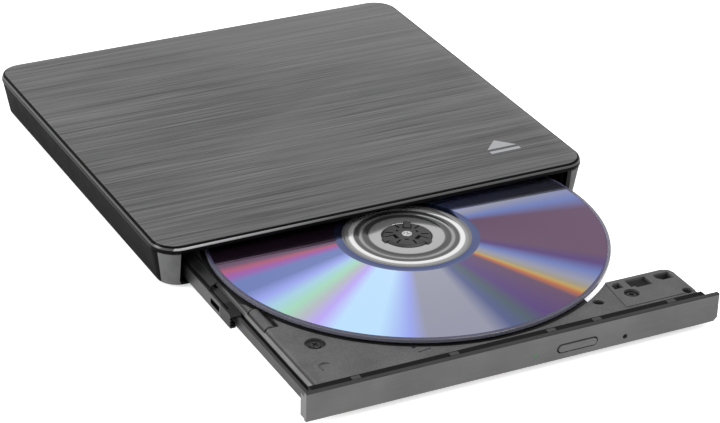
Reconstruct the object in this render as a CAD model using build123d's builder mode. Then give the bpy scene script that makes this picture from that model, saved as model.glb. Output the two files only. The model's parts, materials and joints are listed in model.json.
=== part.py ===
import os
from math import cos, radians, sin

from build123d import *

os.makedirs("parts", exist_ok=True)

# External optical drive, drawn with its tray partly open. Millimetres.
# X is the width, the tray leaves towards -Y and Z is up. The origin is the centre of the
# enclosure's footprint, on the surface that its feet stand on.

case_width = 144.0
case_depth = 137.5
case_height = 14.0
case_corner = 8.0
lid_edge_z = 12.0
lid_inner_z = 12.5
lid_wall = 1.6
lid_taper = 14.0
rim_z = 11.6
underside_z = 0.8
floor_z = 1.9
shell_wall = 1.8
foot_inset = 2.3
mouth_left = -65.2
mouth_right = 65.6

chassis_left = -64.6
chassis_right = 65.0
chassis_front = -64.5
chassis_rear = 62.4
chassis_floor = 2.0
chassis_top = 11.1
sheet = 0.4

tray_out = 81.6
closed_front = -68.8
face_y = closed_front - tray_out

face_left = -64.9
face_right = 65.3
face_low = 2.1
face_high = 10.9
face_thick = 1.4

frame_front = face_y + face_thick
frame_rear = frame_front + 4.8
frame_high = 9.0

tray_left = -61.6
tray_right = 62.8
tray_slim_right = 32.0
tray_front = frame_rear + 0.2
tray_rear = tray_front + 120.5
tray_low = 3.1
deck_z = 8.1
deck_under = 6.7
well_z = 7.2
well_radius = 61.2
block_rear = tray_front + 16.4
front_wall = 1.2

spindle_x = 1.4
spindle_y = face_y + 69.1
disc_radius = 60.0
disc_hole = 7.5
disc_low = 8.4
disc_thick = 1.2
hub_radius = 7.35
claw_angles = (62.0, 182.0, 302.0)
rotor_radius = 13.0
turntable_radius = 14.0

lens_rest = 30.0
sled_half = 18.3
sled_low = 3.5
sled_high = 6.0
rod_offset = 16.5
rod_radius = 1.0
rod_z = 4.9
run_gap = 0.05
screw_offset = 20.2
screw_z = 5.6
lead_radius = 0.9
engine_low = 3.6
engine_high = 6.35
engine_in = -17.0
engine_out = 63.4

button_x = 18.6
button_z = 5.5
button_long = 12.4
button_tall = 2.1
button_gap = 0.4
lamp_x = 5.2
lamp_z = 5.2
pinhole_x = 34.2
pinhole_z = 4.4

board_z = 3.2
board_thick = 0.8
socket_x = 52.0

latch_turn = 16.0
latch_x = 42.5
latch_y = tray_front + 2.7
post_x = 39.6
post_y = tray_front + 8.8 + tray_out

# Planes of the optical engine: its x runs from the spindle towards the tray's front-left corner.
engine = Plane(origin=(spindle_x, spindle_y, 0), x_dir=(-1, -1, 0), z_dir=(0, 0, 1))
spindle = Plane(origin=(spindle_x, spindle_y, 0))


def save(piece, name):
    piece.part.label = name
    export_step(piece.part, "parts/" + name + ".step")


def block(low, high):
    """Adds a box between two corners to the open part."""
    size = [b - a for a, b in zip(low, high)]
    centre = [(a + b) / 2 for a, b in zip(low, high)]
    with Locations(tuple(centre)):
        Box(*size)


def cut(low, high):
    """Cuts a box between two corners from the open part."""
    size = [b - a for a, b in zip(low, high)]
    centre = [(a + b) / 2 for a, b in zip(low, high)]
    with Locations(tuple(centre)):
        Box(*size, mode=Mode.SUBTRACT)


def across(y):
    """A plane facing the front: its x is X and its y is Z."""
    return Plane(origin=(0, y, 0), x_dir=(1, 0, 0), z_dir=(0, -1, 0))


def along_engine(reach, side, height):
    """A plane facing away from the spindle along the engine, for rods and screws."""
    spot = engine.from_local_coords((reach, side, height))
    return Plane(origin=spot, x_dir=engine.y_dir, z_dir=engine.x_dir)


# Enclosure.

screw_spots = [(-67.0, -48.0), (-67.0, 52.0), (67.15, -48.0), (67.15, 52.0)]
foot_spots = [(-54.0, -54.0), (-54.0, 54.0), (54.0, -54.0), (54.0, 54.0)]

with BuildPart() as top_cover:
    with BuildSketch(Plane.XY.offset(lid_edge_z)):
        RectangleRounded(case_width, case_depth, case_corner)
    extrude(amount=case_height - lid_edge_z, taper=lid_taper)
    fillet(top_cover.faces().sort_by(Axis.Z)[-1].edges(), 0.3)
    with BuildSketch(Plane.XY.offset(lid_edge_z)):
        RectangleRounded(case_width - 2 * lid_wall, case_depth - 2 * lid_wall, case_corner - lid_wall)
    extrude(amount=lid_inner_z - lid_edge_z, mode=Mode.SUBTRACT)
    # stiffening ribs under the plate, between the damping strips
    for rib_x in (-24.0, 0.0, 24.0):
        block((rib_x - 0.5, -50.0, 12.0), (rib_x + 0.5, 50.0, lid_inner_z))
save(top_cover, "top_cover")

tongue_low = 10.8
tongue_thick = 0.9
tongue_side = 69.6
tongue_rear = 66.3
post_low = 6.0

with BuildPart() as cover_tongues:
    # straight tongues that locate the cover inside the bottom shell, and its screw posts
    block((-tongue_side, -56.0, tongue_low), (tongue_thick - tongue_side, 56.0, lid_inner_z))
    block((tongue_side - tongue_thick, -56.0, tongue_low), (tongue_side, 56.0, lid_inner_z))
    block((-58.0, tongue_rear - tongue_thick, tongue_low), (58.0, tongue_rear, lid_inner_z))
    with BuildSketch(Plane.XY.offset(post_low)):
        with Locations(*screw_spots):
            Circle(1.65)
            Circle(0.8, mode=Mode.SUBTRACT)
    extrude(amount=lid_inner_z - post_low)
save(cover_tongues, "cover_tongues")

with BuildPart() as bottom_shell:
    with BuildSketch(Plane.XY.offset(underside_z)):
        with Locations((0, -0.5)):
            RectangleRounded(case_width - 2 * foot_inset, case_depth - 2 * foot_inset + 1.0, 6.4)
    with BuildSketch(Plane.XY.offset(rim_z)):
        RectangleRounded(case_width - 0.5, case_depth - 0.5, case_corner - 0.25)
    loft()
    fillet(bottom_shell.faces().sort_by(Axis.Z)[0].edges(), 0.6)
    with BuildSketch(Plane.XY.offset(floor_z)):
        with Locations((0, -0.4)):
            RectangleRounded(139.8 - 2 * shell_wall, 134.0 - 2 * shell_wall, 5.0)
    with BuildSketch(Plane.XY.offset(rim_z)):
        RectangleRounded(case_width - 0.5 - 2 * shell_wall, case_depth - 0.5 - 2 * shell_wall, 6.0)
    loft(mode=Mode.SUBTRACT)
    cut((mouth_left, -70.0, floor_z), (mouth_right, -63.0, 13.0))
    # ribs that hold the drive from both sides
    for rib_y in (-56.0, -20.0, 10.0, 38.0):
        block((-69.0, rib_y - 0.6, floor_z - 0.2), (-65.15, rib_y + 0.6, 9.6))
        block((65.55, rib_y - 0.6, floor_z - 0.2), (69.0, rib_y + 0.6, 9.6))
    block((-40.0, 62.7, floor_z - 0.2), (-38.8, 66.2, 9.6))
    block((10.0, 62.7, floor_z - 0.2), (11.2, 66.2, 9.6))
    # screw bosses, counterbored from below
    with BuildSketch(Plane.XY.offset(floor_z - 0.2)):
        with Locations(*screw_spots):
            Circle(1.75)
    extrude(amount=4.1)
    with BuildSketch(Plane.XY.offset(underside_z)):
        with Locations(*screw_spots):
            Circle(0.9)
    extrude(amount=5.2, mode=Mode.SUBTRACT)
    with BuildSketch(Plane.XY.offset(underside_z)):
        with Locations(*screw_spots):
            Circle(1.6)
    extrude(amount=1.0, mode=Mode.SUBTRACT)
    # shallow panel in the underside
    with BuildSketch(Plane.XY.offset(underside_z)):
        with Locations((0.0, 34.0)):
            RectangleRounded(66.0, 34.0, 2.0)
    extrude(amount=0.2, mode=Mode.SUBTRACT)
    # pockets for the feet
    with BuildSketch(Plane.XY.offset(underside_z)):
        with Locations(*foot_spots):
            Circle(4.7)
    extrude(amount=0.6, mode=Mode.SUBTRACT)
    # rear opening for the socket
    with BuildSketch(across(70.0)):
        with Locations((socket_x, 6.2)):
            RectangleRounded(9.2, 5.2, 1.2)
    extrude(amount=6.0, mode=Mode.SUBTRACT)
    # air slots in the floor under the board
    with BuildSketch(Plane.XY.offset(underside_z)):
        with GridLocations(5.0, 1.0, 7, 1):
            SlotOverall(16.0, 1.8, rotation=90)
    extrude(amount=1.3, mode=Mode.SUBTRACT)
save(bottom_shell, "bottom_shell")

with BuildPart() as rubber_feet:
    with BuildSketch():
        with Locations(*foot_spots):
            Circle(4.4)
    extrude(amount=underside_z + 0.55)
    fillet(rubber_feet.edges().group_by(Axis.Z)[0], 0.3)
save(rubber_feet, "rubber_feet")

with BuildPart() as base_screws:
    with BuildSketch(Plane.XY.offset(underside_z + 0.1)):
        with Locations(*screw_spots):
            Circle(1.5)
    extrude(amount=0.85)
    with BuildSketch(Plane.XY.offset(underside_z + 0.95)):
        with Locations(*screw_spots):
            Circle(0.75)
    extrude(amount=8.0)
    for spot in screw_spots:
        with Locations((spot[0], spot[1], underside_z + 0.3)):
            Box(1.7, 0.4, 0.4, mode=Mode.SUBTRACT)
            Box(0.4, 1.7, 0.4, mode=Mode.SUBTRACT)
save(base_screws, "base_screws")

with BuildPart() as damping_strips:
    for strip_x in (-45.0, 45.0):
        block((strip_x - 4.0, -48.0, chassis_top + sheet), (strip_x + 4.0, 48.0, lid_inner_z))
save(damping_strips, "damping_strips")

# Drive chassis.

pad_spots = [(39.0, -40.5), (61.0, -40.5), (39.0, 56.0), (61.5, 47.0)]

wall_foot = chassis_floor + sheet
corner_relief = 1.0
socket_half = 4.5

with BuildPart() as chassis_base:
    block((chassis_left, chassis_front, chassis_floor), (chassis_right, chassis_rear, wall_foot))
    # lightening windows under the tray
    with BuildSketch(Plane.XY.offset(chassis_floor)):
        with Locations((-14.0, 0.0)):
            with GridLocations(30.0, 34.0, 3, 3):
                RectangleRounded(18.0, 20.0, 3.0)
    extrude(amount=sheet, mode=Mode.SUBTRACT)
    # embossed pads under the board
    with BuildSketch(Plane.XY.offset(wall_foot)):
        with Locations(*pad_spots):
            Circle(2.0)
            Circle(0.75, mode=Mode.SUBTRACT)
    extrude(amount=board_z - wall_foot)
save(chassis_base, "chassis_base")

with BuildPart() as chassis_walls:
    # the bent-up sides stop short of each other at the corners and beside the socket
    side_rear = chassis_rear - corner_relief
    block((chassis_left, chassis_front, wall_foot), (chassis_left + sheet, side_rear, chassis_top))
    block((chassis_right - sheet, chassis_front, wall_foot), (chassis_right, side_rear, chassis_top))
    block((chassis_left + corner_relief, chassis_rear - sheet, wall_foot),
          (socket_x - socket_half, chassis_rear, chassis_top))
    block((socket_x + socket_half, chassis_rear - sheet, wall_foot),
          (chassis_right - corner_relief, chassis_rear, chassis_top))
save(chassis_walls, "chassis_walls")

cover_spots = [(-60.0, 58.0), (60.5, 58.0), (-60.0, -30.0), (60.5, -30.0)]

with BuildPart() as chassis_cover:
    block((-65.0, chassis_front, chassis_top), (65.4, chassis_rear, chassis_top + sheet))
    block((-65.0, -58.0, 9.4), (-64.65, 56.0, chassis_top))
    block((65.05, -58.0, 9.4), (65.4, 56.0, chassis_top))
    with BuildSketch(Plane.XY.offset(chassis_top)):
        with Locations((-20.0, 56.0), (20.0, 56.0)):
            SlotOverall(18.0, 3.0)
    extrude(amount=sheet, mode=Mode.SUBTRACT)
save(chassis_cover, "chassis_cover")

with BuildPart() as chassis_screws:
    with BuildSketch(Plane.XY.offset(chassis_top + sheet)):
        with Locations(*cover_spots):
            Circle(1.4)
    extrude(amount=0.5)
    for spot in cover_spots:
        with Locations((spot[0], spot[1], chassis_top + sheet + 0.4)):
            Box(1.6, 0.35, 0.4, mode=Mode.SUBTRACT)
            Box(0.35, 1.6, 0.4, mode=Mode.SUBTRACT)
save(chassis_screws, "chassis_screws")

fixed_rail_rear = 58.0
fixed_left_front = -62.5
fixed_right_front = -45.5

with BuildPart() as left_outer_rail:
    with BuildSketch(across(fixed_rail_rear)):
        with BuildLine():
            Polyline((-64.15, 2.45), (-62.9, 2.45), (-62.9, 2.75), (-63.85, 2.75), (-63.85, 7.75),
                     (-62.9, 7.75), (-62.9, 8.05), (-64.15, 8.05), close=True)
        make_face()
    extrude(amount=fixed_rail_rear - fixed_left_front)
save(left_outer_rail, "left_outer_rail")

with BuildPart() as right_outer_rail:
    with BuildSketch(across(fixed_rail_rear)):
        with BuildLine():
            Polyline((34.55, 2.45), (33.3, 2.45), (33.3, 2.75), (34.25, 2.75), (34.25, 7.75),
                     (33.3, 7.75), (33.3, 8.05), (34.55, 8.05), close=True)
        make_face()
    extrude(amount=fixed_rail_rear - fixed_right_front)
    for foot_y in (-40.0, 6.0, 52.0):
        block((34.55, foot_y - 2.0, 2.4), (35.9, foot_y + 2.0, 2.75))
save(right_outer_rail, "right_outer_rail")

with BuildPart() as latch_post:
    with BuildSketch(Plane.XY.offset(chassis_floor + sheet)):
        with Locations((post_x, post_y)):
            Circle(1.8)
    extrude(amount=0.4)
    with BuildSketch(Plane.XY.offset(chassis_floor + sheet)):
        with Locations((post_x, post_y)):
            Circle(0.9)
    extrude(amount=3.7)
    chamfer(latch_post.edges().group_by(Axis.Z)[-1], 0.2)
save(latch_post, "latch_post")

# Electronics.

board_top = board_z + board_thick

with BuildPart() as main_board:
    with BuildSketch(Plane.XY.offset(board_z)):
        with BuildLine():
            Polyline((36.2, -43.6), (63.8, -43.6), (63.8, 60.6), (56.4, 60.6), (56.4, 61.6),
                     (47.6, 61.6), (47.6, 58.0), (36.2, 58.0), close=True)
        make_face()
        with Locations(*pad_spots):
            Circle(0.9, mode=Mode.SUBTRACT)
    extrude(amount=board_thick)
save(main_board, "main_board")

with BuildPart() as board_screws:
    for spot in pad_spots:
        with BuildSketch(Plane.XY.offset(2.5)):
            with Locations(spot):
                Circle(0.7)
        extrude(amount=board_top - 2.5)
        with BuildSketch(Plane.XY.offset(board_top)):
            with Locations(spot):
                Circle(1.5)
        extrude(amount=0.6)
save(board_screws, "board_screws")

# each chip: centre x, centre y, width, depth, height
chips = [(50.0, 8.0, 14.0, 14.0, 1.2), (45.5, -20.0, 9.0, 9.0, 1.0), (51.0, 30.0, 9.0, 7.0, 1.0),
         (58.0, -8.0, 5.0, 6.0, 1.0), (42.5, 42.0, 5.0, 4.0, 1.0), (58.5, 22.0, 3.2, 2.5, 0.7)]
with BuildPart() as board_chips:
    for chip in chips:
        with BuildSketch(Plane.XY.offset(board_top)):
            with Locations((chip[0], chip[1])):
                Rectangle(chip[2], chip[3])
        extrude(amount=chip[4])
    chamfer(board_chips.edges().filter_by(Axis.Z), 0.25)
save(board_chips, "board_chips")

with BuildPart() as board_connectors:
    block((39.0, -35.0, board_top), (57.0, -30.5, board_top + 1.6))
    block((38.4, 47.5, board_top), (46.4, 51.5, board_top + 1.6))
    cut((40.0, -33.4, board_top + 0.5), (56.0, -30.0, board_top + 1.1))
    cut((39.4, 47.0, board_top + 0.5), (45.4, 49.6, board_top + 1.1))
save(board_connectors, "board_connectors")

can_spots = [(41.0, 30.0), (44.6, 33.5), (60.5, 38.0), (60.8, -20.0)]
with BuildPart() as capacitors:
    with BuildSketch(Plane.XY.offset(board_top)):
        with Locations(*can_spots):
            Circle(1.6)
    extrude(amount=2.9)
    fillet(capacitors.edges().group_by(Axis.Z)[-1], 0.3)
save(capacitors, "capacitors")

socket_rear = 67.2
socket_front = 58.4

with BuildPart() as usb_socket:
    with BuildSketch(across(socket_rear)):
        with BuildLine():
            Polyline((socket_x - 3.85, board_top + 4.0), (socket_x - 3.85, board_top + 1.5),
                     (socket_x - 3.1, board_top), (socket_x + 3.1, board_top),
                     (socket_x + 3.85, board_top + 1.5), (socket_x + 3.85, board_top + 4.0), close=True)
        make_face()
    extrude(amount=socket_rear - socket_front)
    with BuildSketch(across(socket_rear)):
        with BuildLine():
            Polyline((socket_x - 3.5, board_top + 3.65), (socket_x - 3.5, board_top + 1.6),
                     (socket_x - 2.9, board_top + 0.35), (socket_x + 2.9, board_top + 0.35),
                     (socket_x + 3.5, board_top + 1.6), (socket_x + 3.5, board_top + 3.65), close=True)
        make_face()
    extrude(amount=socket_rear - socket_front - 0.4, mode=Mode.SUBTRACT)
save(usb_socket, "usb_socket")

with BuildPart() as usb_socket_tongue:
    block((socket_x - 2.6, socket_front + 0.4, board_top + 1.9),
          (socket_x + 2.6, socket_rear - 0.8, board_top + 2.9))
save(usb_socket_tongue, "usb_socket_tongue")

# Tray.

ridge_left = 40.4
screw_left = (-49.3, -123.6)
screw_right = (45.2, -135.8)
engine_screw_spots = [screw_left]
for side in (-15.3, 15.3):
    spot = engine.from_local_coords((-13.5, side, 0))
    engine_screw_spots.append((spot.X, spot.Y))

with BuildPart() as tray:
    with BuildSketch(Plane.XY.offset(tray_low)):
        with BuildLine():
            Polyline((tray_left, tray_front), (tray_right, tray_front), (tray_right, block_rear),
                     (tray_slim_right, block_rear), (tray_slim_right, tray_rear),
                     (tray_left, tray_rear), close=True)
        make_face()
    extrude(amount=deck_z - tray_low)
    fillet(tray.edges().filter_by(Axis.Z).sort_by(Axis.X)[-1:], 2.2)
    # slightly raised corner block on the right
    with BuildSketch(Plane.XY.offset(deck_z)):
        with BuildLine():
            Polyline((ridge_left - 0.8, tray_front + 2.0), (tray_right, tray_front + 2.0),
                     (tray_right, block_rear - 2.4), (tray_right - 2.4, block_rear),
                     (ridge_left + 0.8, block_rear), close=True)
        make_face()
    extrude(amount=0.2)
    # the left edge steps down to a channel and a low outer rim
    with BuildSketch(across(tray_rear)):
        with BuildLine():
            Polyline((tray_left - 1.0, 6.2), (tray_left + 1.0, 6.2), (tray_left + 1.0, 5.0),
                     (tray_left + 2.2, 5.0), (tray_left + 2.2, 6.2), (tray_left + 3.8, deck_z),
                     (tray_left + 3.8, 9.0), (tray_left - 1.0, 9.0), close=True)
        make_face()
    extrude(amount=tray_rear - tray_front, mode=Mode.SUBTRACT)
    # hollow underside: main bay and corner bay
    cut((tray_left + 3.4, tray_front + front_wall, 3.0),
        (tray_slim_right - 1.2, tray_rear - 1.2, deck_under))
    with BuildSketch(Plane.XY.offset(3.0)):
        with Locations(((33.2 + 61.6) / 2, (tray_front + front_wall + block_rear - 1.3) / 2)):
            Rectangle(61.6 - 33.2, block_rear - 1.3 - tray_front - front_wall)
        with Locations((spindle_x, spindle_y)):
            Circle(well_radius + 1.4, mode=Mode.SUBTRACT)
    extrude(amount=deck_under - 3.0, mode=Mode.SUBTRACT)
    # the disc well, open to the right of the slim part
    with BuildSketch(Plane.XY.offset(well_z)):
        with Locations((spindle_x, spindle_y)):
            Circle(well_radius)
    extrude(amount=3.0, mode=Mode.SUBTRACT)
    with BuildSketch(Plane.XY.offset(3.0)):
        with Locations((spindle_x, spindle_y)):
            Circle(well_radius)
        with Locations((tray_slim_right - 50.0, spindle_y)):
            Rectangle(100.0, 140.0, mode=Mode.SUBTRACT)
    extrude(amount=6.0, mode=Mode.SUBTRACT)
    # openings over the rotor, the sled, the lens and the stepper motor
    with BuildSketch(engine.offset(6.0)):
        Circle(15.0)
        with Locations((25.0, 2.1)):
            Rectangle(50.0, 41.4)
        with Locations((28.85, 0.0)):
            Rectangle(57.7, 16.0)
        with Locations((-5.9, 20.1)):
            Rectangle(15.8, 5.6)
    extrude(amount=3.0, mode=Mode.SUBTRACT)
    # screw recesses in the deck
    with BuildSketch(Plane.XY.offset(well_z)):
        with Locations(screw_left):
            Circle(3.0)
        with Locations(screw_right):
            Circle(2.3)
    extrude(amount=2.0, mode=Mode.SUBTRACT)
    with BuildSketch(Plane.XY.offset(6.0)):
        with Locations(*engine_screw_spots, screw_right):
            Circle(0.9)
    extrude(amount=2.0, mode=Mode.SUBTRACT)
    # windows of the corner block
    with BuildSketch(Plane.XY.offset(6.0)):
        with BuildLine():
            Polyline((41.9, -132.2), (44.8, -132.2), (44.8, -129.2), (42.9, -129.2), (41.9, -130.2),
                     close=True)
        make_face()
        with BuildLine():
            Polyline((46.9, -132.9), (48.3, -132.9), (48.3, -133.7), (53.6, -133.7), (53.6, -129.0),
                     (46.9, -129.0), close=True)
        make_face()
        with BuildLine():
            Polyline((57.6, -133.0), (61.3, -133.0), (61.3, -129.4), (56.2, -129.4), (56.2, -131.4),
                     close=True)
        make_face()
        with Locations((60.6, -141.0)):
            Circle(1.45)
        with Locations((33.8, -136.2)):
            SlotOverall(3.4, 2.6, rotation=-35)
    extrude(amount=3.0, mode=Mode.SUBTRACT)
    # notch in the left edge, moulding marks and a small hole in the deck
    cut((-59.0, -111.2, deck_under + 0.1), (-54.2, -99.6, 9.0))
    # half-round boss lying in the notch
    with BuildSketch(across(-100.2)):
        with Locations((-56.9, deck_under)):
            Circle(1.7)
        with Locations((-56.9, deck_under - 1.5)):
            Rectangle(4.0, 3.0, mode=Mode.SUBTRACT)
    extrude(amount=10.4)
    with BuildSketch(Plane.XY.offset(deck_z - 0.35)):
        with Locations((-52.0, -135.7)):
            Circle(2.1)
            with Locations((0.7, -0.9)):
                Circle(2.0, mode=Mode.SUBTRACT)
        with Locations((-23.5, -139.1)):
            SlotOverall(4.4, 0.4, rotation=8)
    extrude(amount=1.0, mode=Mode.SUBTRACT)
    with BuildSketch(Plane.XY.offset(6.0)):
        with Locations((-25.6, -136.5)):
            Circle(0.6)
    extrude(amount=3.0, mode=Mode.SUBTRACT)
    # windows in the front wall for the light pipe, the button stem and the release slider
    cut((lamp_x - 1.2, tray_front - 1.0, lamp_z - 1.0), (lamp_x + 1.2, tray_front + 2.0, lamp_z + 1.0))
    cut((16.8, tray_front - 1.0, 4.3), (20.4, tray_front + 2.0, 6.6))
    cut((pinhole_x - 0.95, tray_front - 1.0, 3.3), (pinhole_x + 1.4, tray_front + 2.0, 5.6))
    # the latch post enters through a slot in the block's rear wall
    cut((post_x - 1.3, -140.0, 3.0), (post_x + 1.3, -120.0, 6.5))
    # tongues that run in the sliding rails
    block((tray_left - 1.0, tray_rear - 60.0, 4.7), (tray_left + 0.2, tray_rear - 0.5, 5.7))
    block((tray_slim_right - 0.2, tray_rear - 60.0, 4.7), (tray_slim_right + 1.0, tray_rear - 0.5, 5.7))
save(tray, "tray")

with BuildPart() as tray_bottom_plate:
    with BuildSketch(Plane.XY.offset(2.85)):
        with Locations(((tray_left + 0.5 + 31.5) / 2, (tray_front + tray_rear) / 2)):
            RectangleRounded(31.5 - tray_left - 0.5, tray_rear - tray_front - 1.0, 1.5)
        with Locations((-18.0, -45.0), (12.0, -45.0)):
            RectangleRounded(20.0, 16.0, 2.0, mode=Mode.SUBTRACT)
    extrude(amount=0.25)
save(tray_bottom_plate, "tray_bottom_plate")

with BuildPart() as bezel:
    with BuildSketch(across(frame_front)):
        with BuildLine():
            Polyline((face_left, face_low), (face_right - 1.2, face_low), (face_right, face_low + 1.2),
                     (face_right, face_high), (face_left, face_high), close=True)
        make_face()
    extrude(amount=face_thick)
    fillet(bezel.faces().sort_by(Axis.Y)[0].edges(), 0.3)
    block((face_left, frame_front, 2.6), (face_left + 1.2, frame_front + 2.2, 9.4))
    block((face_right - 1.2, frame_front, 3.4), (face_right, frame_front + 2.2, 9.4))
    with BuildSketch(across(frame_front + 0.1)):
        with Locations((button_x, button_z)):
            SlotOverall(button_long + 2 * button_gap, button_tall + 2 * button_gap)
        with Locations((lamp_x, lamp_z)):
            Circle(0.75)
        with Locations((pinhole_x, pinhole_z)):
            Circle(0.75)
    extrude(amount=face_thick + 0.2, mode=Mode.SUBTRACT)
save(bezel, "bezel")

with BuildPart() as bezel_frame:
    block((-61.4, frame_front, 2.8), (63.2, frame_rear, frame_high))
    cut((-60.2, frame_front + 1.0, 3.5), (62.0, frame_rear + 0.1, 8.2))
    with BuildSketch(across(frame_front + 1.1)):
        with Locations((button_x, button_z)):
            SlotOverall(button_long + 0.5, button_tall + 0.5)
        with Locations((lamp_x, lamp_z)):
            Circle(0.75)
        with Locations((pinhole_x, pinhole_z)):
            Circle(0.75)
    extrude(amount=1.3, mode=Mode.SUBTRACT)
    # clips that catch the tray's front edge
    for clip_x in (-48.0, -18.0, 12.6, 27.4, 52.0):
        block((clip_x - 1.3, frame_rear - 2.4, frame_high - 0.2),
              (clip_x + 1.3, frame_rear - 0.8, frame_high + 0.35))
save(bezel_frame, "bezel_frame")

with BuildPart() as light_pipe:
    with BuildSketch(across(tray_front + 0.8)):
        with Locations((lamp_x, lamp_z)):
            Circle(0.7)
    extrude(amount=tray_front + 0.8 - face_y - 0.05)
save(light_pipe, "light_pipe")

with BuildPart() as tray_board:
    with BuildSketch(Plane.XY.offset(3.6)):
        with Locations((14.0, tray_front + 7.2)):
            RectangleRounded(30.0, 11.4, 0.8)
    extrude(amount=0.8)
save(tray_board, "tray_board")

with BuildPart() as status_led:
    block((lamp_x - 1.0, tray_front + 1.6, 4.4), (lamp_x + 1.0, tray_front + 3.2, 5.9))
save(status_led, "status_led")

with BuildPart() as eject_switch:
    block((16.2, tray_front + 2.2, 4.4), (21.0, tray_front + 5.4, 6.4))
    block((17.7, tray_front + 1.75, 4.9), (19.5, tray_front + 2.2, 6.0))
save(eject_switch, "eject_switch")

with BuildPart() as eject_button:
    with BuildSketch(across(frame_front + 1.3)):
        with Locations((button_x, button_z)):
            SlotOverall(button_long, button_tall)
    extrude(amount=face_thick + 1.3 + 0.35)
    fillet(eject_button.faces().sort_by(Axis.Y)[0].edges(), 0.3)
    with BuildSketch(across(frame_front + 2.1)):
        with Locations((button_x, button_z)):
            SlotOverall(button_long + 1.7, button_tall + 1.2)
    extrude(amount=0.8)
    block((17.7, frame_front + 2.0, 4.8), (19.5, tray_front + 1.0, 6.2))
save(eject_button, "eject_button")

with BuildPart() as release_slider:
    with BuildSketch(across(tray_front + 5.6)):
        with Locations((pinhole_x, pinhole_z)):
            Circle(0.65)
    extrude(amount=tray_front + 5.6 - frame_front - 1.2)
    block((33.5, tray_front + 4.2, 3.6), (37.2, tray_front + 5.6, 5.2))
save(release_slider, "release_slider")

# Catch in the corner block.

latch_plane = Plane(origin=(latch_x, latch_y, 3.6),
                    x_dir=(cos(radians(latch_turn)), -sin(radians(latch_turn)), 0), z_dir=(0, 0, 1))

with BuildPart() as tray_latch:
    with BuildSketch(latch_plane):
        Circle(1.25)
        with BuildLine():
            Polyline((-0.9, 0.0), (0.9, 0.0), (0.9, 7.2), (0.5, 8.7), (-3.9, 8.7), (-3.9, 7.6),
                     (-2.8, 7.1), (-0.9, 7.1), close=True)
        make_face()
        Circle(0.65, mode=Mode.SUBTRACT)
    extrude(amount=1.7)
save(tray_latch, "tray_latch")

with BuildPart() as latch_pin:
    with BuildSketch(Plane.XY.offset(3.3)):
        with Locations((latch_x, latch_y)):
            Circle(0.6)
    extrude(amount=deck_under - 3.3)
save(latch_pin, "latch_pin")

with BuildPart() as latch_solenoid:
    block((48.2, tray_front + 2.0, 3.4), (58.4, tray_front + 9.0, 6.4))
    block((43.6, tray_front + 7.0, 6.0), (48.2, tray_front + 10.0, 6.6))
    with BuildSketch(Plane(origin=(48.2, tray_front + 5.0, 4.7), x_dir=(0, 1, 0), z_dir=(1, 0, 0))):
        Circle(0.95)
    extrude(amount=7.0, mode=Mode.SUBTRACT)
    with BuildSketch(Plane.XY.offset(5.8)):
        with Locations(screw_right):
            Circle(0.75)
    extrude(amount=1.0, mode=Mode.SUBTRACT)
save(latch_solenoid, "latch_solenoid")

with BuildPart() as solenoid_plunger:
    with BuildSketch(Plane(origin=(44.7, tray_front + 5.0, 4.7), x_dir=(0, 1, 0), z_dir=(1, 0, 0))):
        Circle(0.9)
    extrude(amount=8.4)
save(solenoid_plunger, "solenoid_plunger")

# Optical engine.

with BuildPart() as engine_frame:
    with BuildSketch(engine.offset(engine_low)):
        with Locations(((engine_in + engine_out) / 2, 1.4)):
            Rectangle(engine_out - engine_in, 42.8)
        with Locations(((6.0 + 62.3) / 2, 1.6)):
            Rectangle(62.3 - 6.0, 40.8, mode=Mode.SUBTRACT)
        Circle(14.2, mode=Mode.SUBTRACT)
    extrude(amount=engine_high - engine_low)
    # ear for the front damper
    with BuildSketch(Plane.XY.offset(engine_low)):
        with Locations(screw_left):
            Circle(2.6)
    extrude(amount=1.2)
    with BuildSketch(engine.offset(engine_low)):
        with Locations((63.4, -5.9)):
            Rectangle(2.4, 5.2)
    extrude(amount=1.2)
    # seats of the rear dampers
    with BuildSketch(Plane.XY.offset(engine_low + 1.2)):
        with Locations(*engine_screw_spots[1:]):
            Circle(2.4)
    extrude(amount=3.0, mode=Mode.SUBTRACT)
    with BuildSketch(Plane.XY.offset(3.0)):
        with Locations(*engine_screw_spots):
            Circle(0.85)
    extrude(amount=3.0, mode=Mode.SUBTRACT)
    # motor bay, rod ends and the lead screw's outer bearing
    with BuildSketch(engine.offset(3.0)):
        with Locations((-3.3, 20.6)):
            Rectangle(19.0, 6.0)
    extrude(amount=5.0, mode=Mode.SUBTRACT)
    for side in (-rod_offset, rod_offset):
        with BuildSketch(along_engine(4.8, side, rod_z)):
            Circle(rod_radius)
        extrude(amount=58.3, mode=Mode.SUBTRACT)
    with BuildSketch(along_engine(60.0, screw_offset, screw_z)):
        Circle(0.45)
    extrude(amount=3.0, mode=Mode.SUBTRACT)
save(engine_frame, "engine_frame")

with BuildPart() as guide_rods:
    for side in (-rod_offset, rod_offset):
        with BuildSketch(along_engine(4.9, side, rod_z)):
            Circle(rod_radius)
        extrude(amount=58.1)
save(guide_rods, "guide_rods")

with BuildPart() as engine_cover:
    with BuildSketch(engine.offset(engine_high)):
        with Locations(((0.0 + 63.2) / 2, -2.4)):
            Rectangle(63.2, 35.0)
        with Locations((38.15, 0.0)):
            Rectangle(39.1, 12.2, mode=Mode.SUBTRACT)
        Circle(15.0, mode=Mode.SUBTRACT)
    extrude(amount=0.25)
save(engine_cover, "engine_cover")

with BuildPart() as damper_bushes:
    with BuildSketch(Plane.XY.offset(engine_low + 1.2)):
        with Locations(*engine_screw_spots):
            Circle(2.2)
            Circle(0.85, mode=Mode.SUBTRACT)
    extrude(amount=deck_under - engine_low - 1.25)
save(damper_bushes, "damper_bushes")

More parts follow.
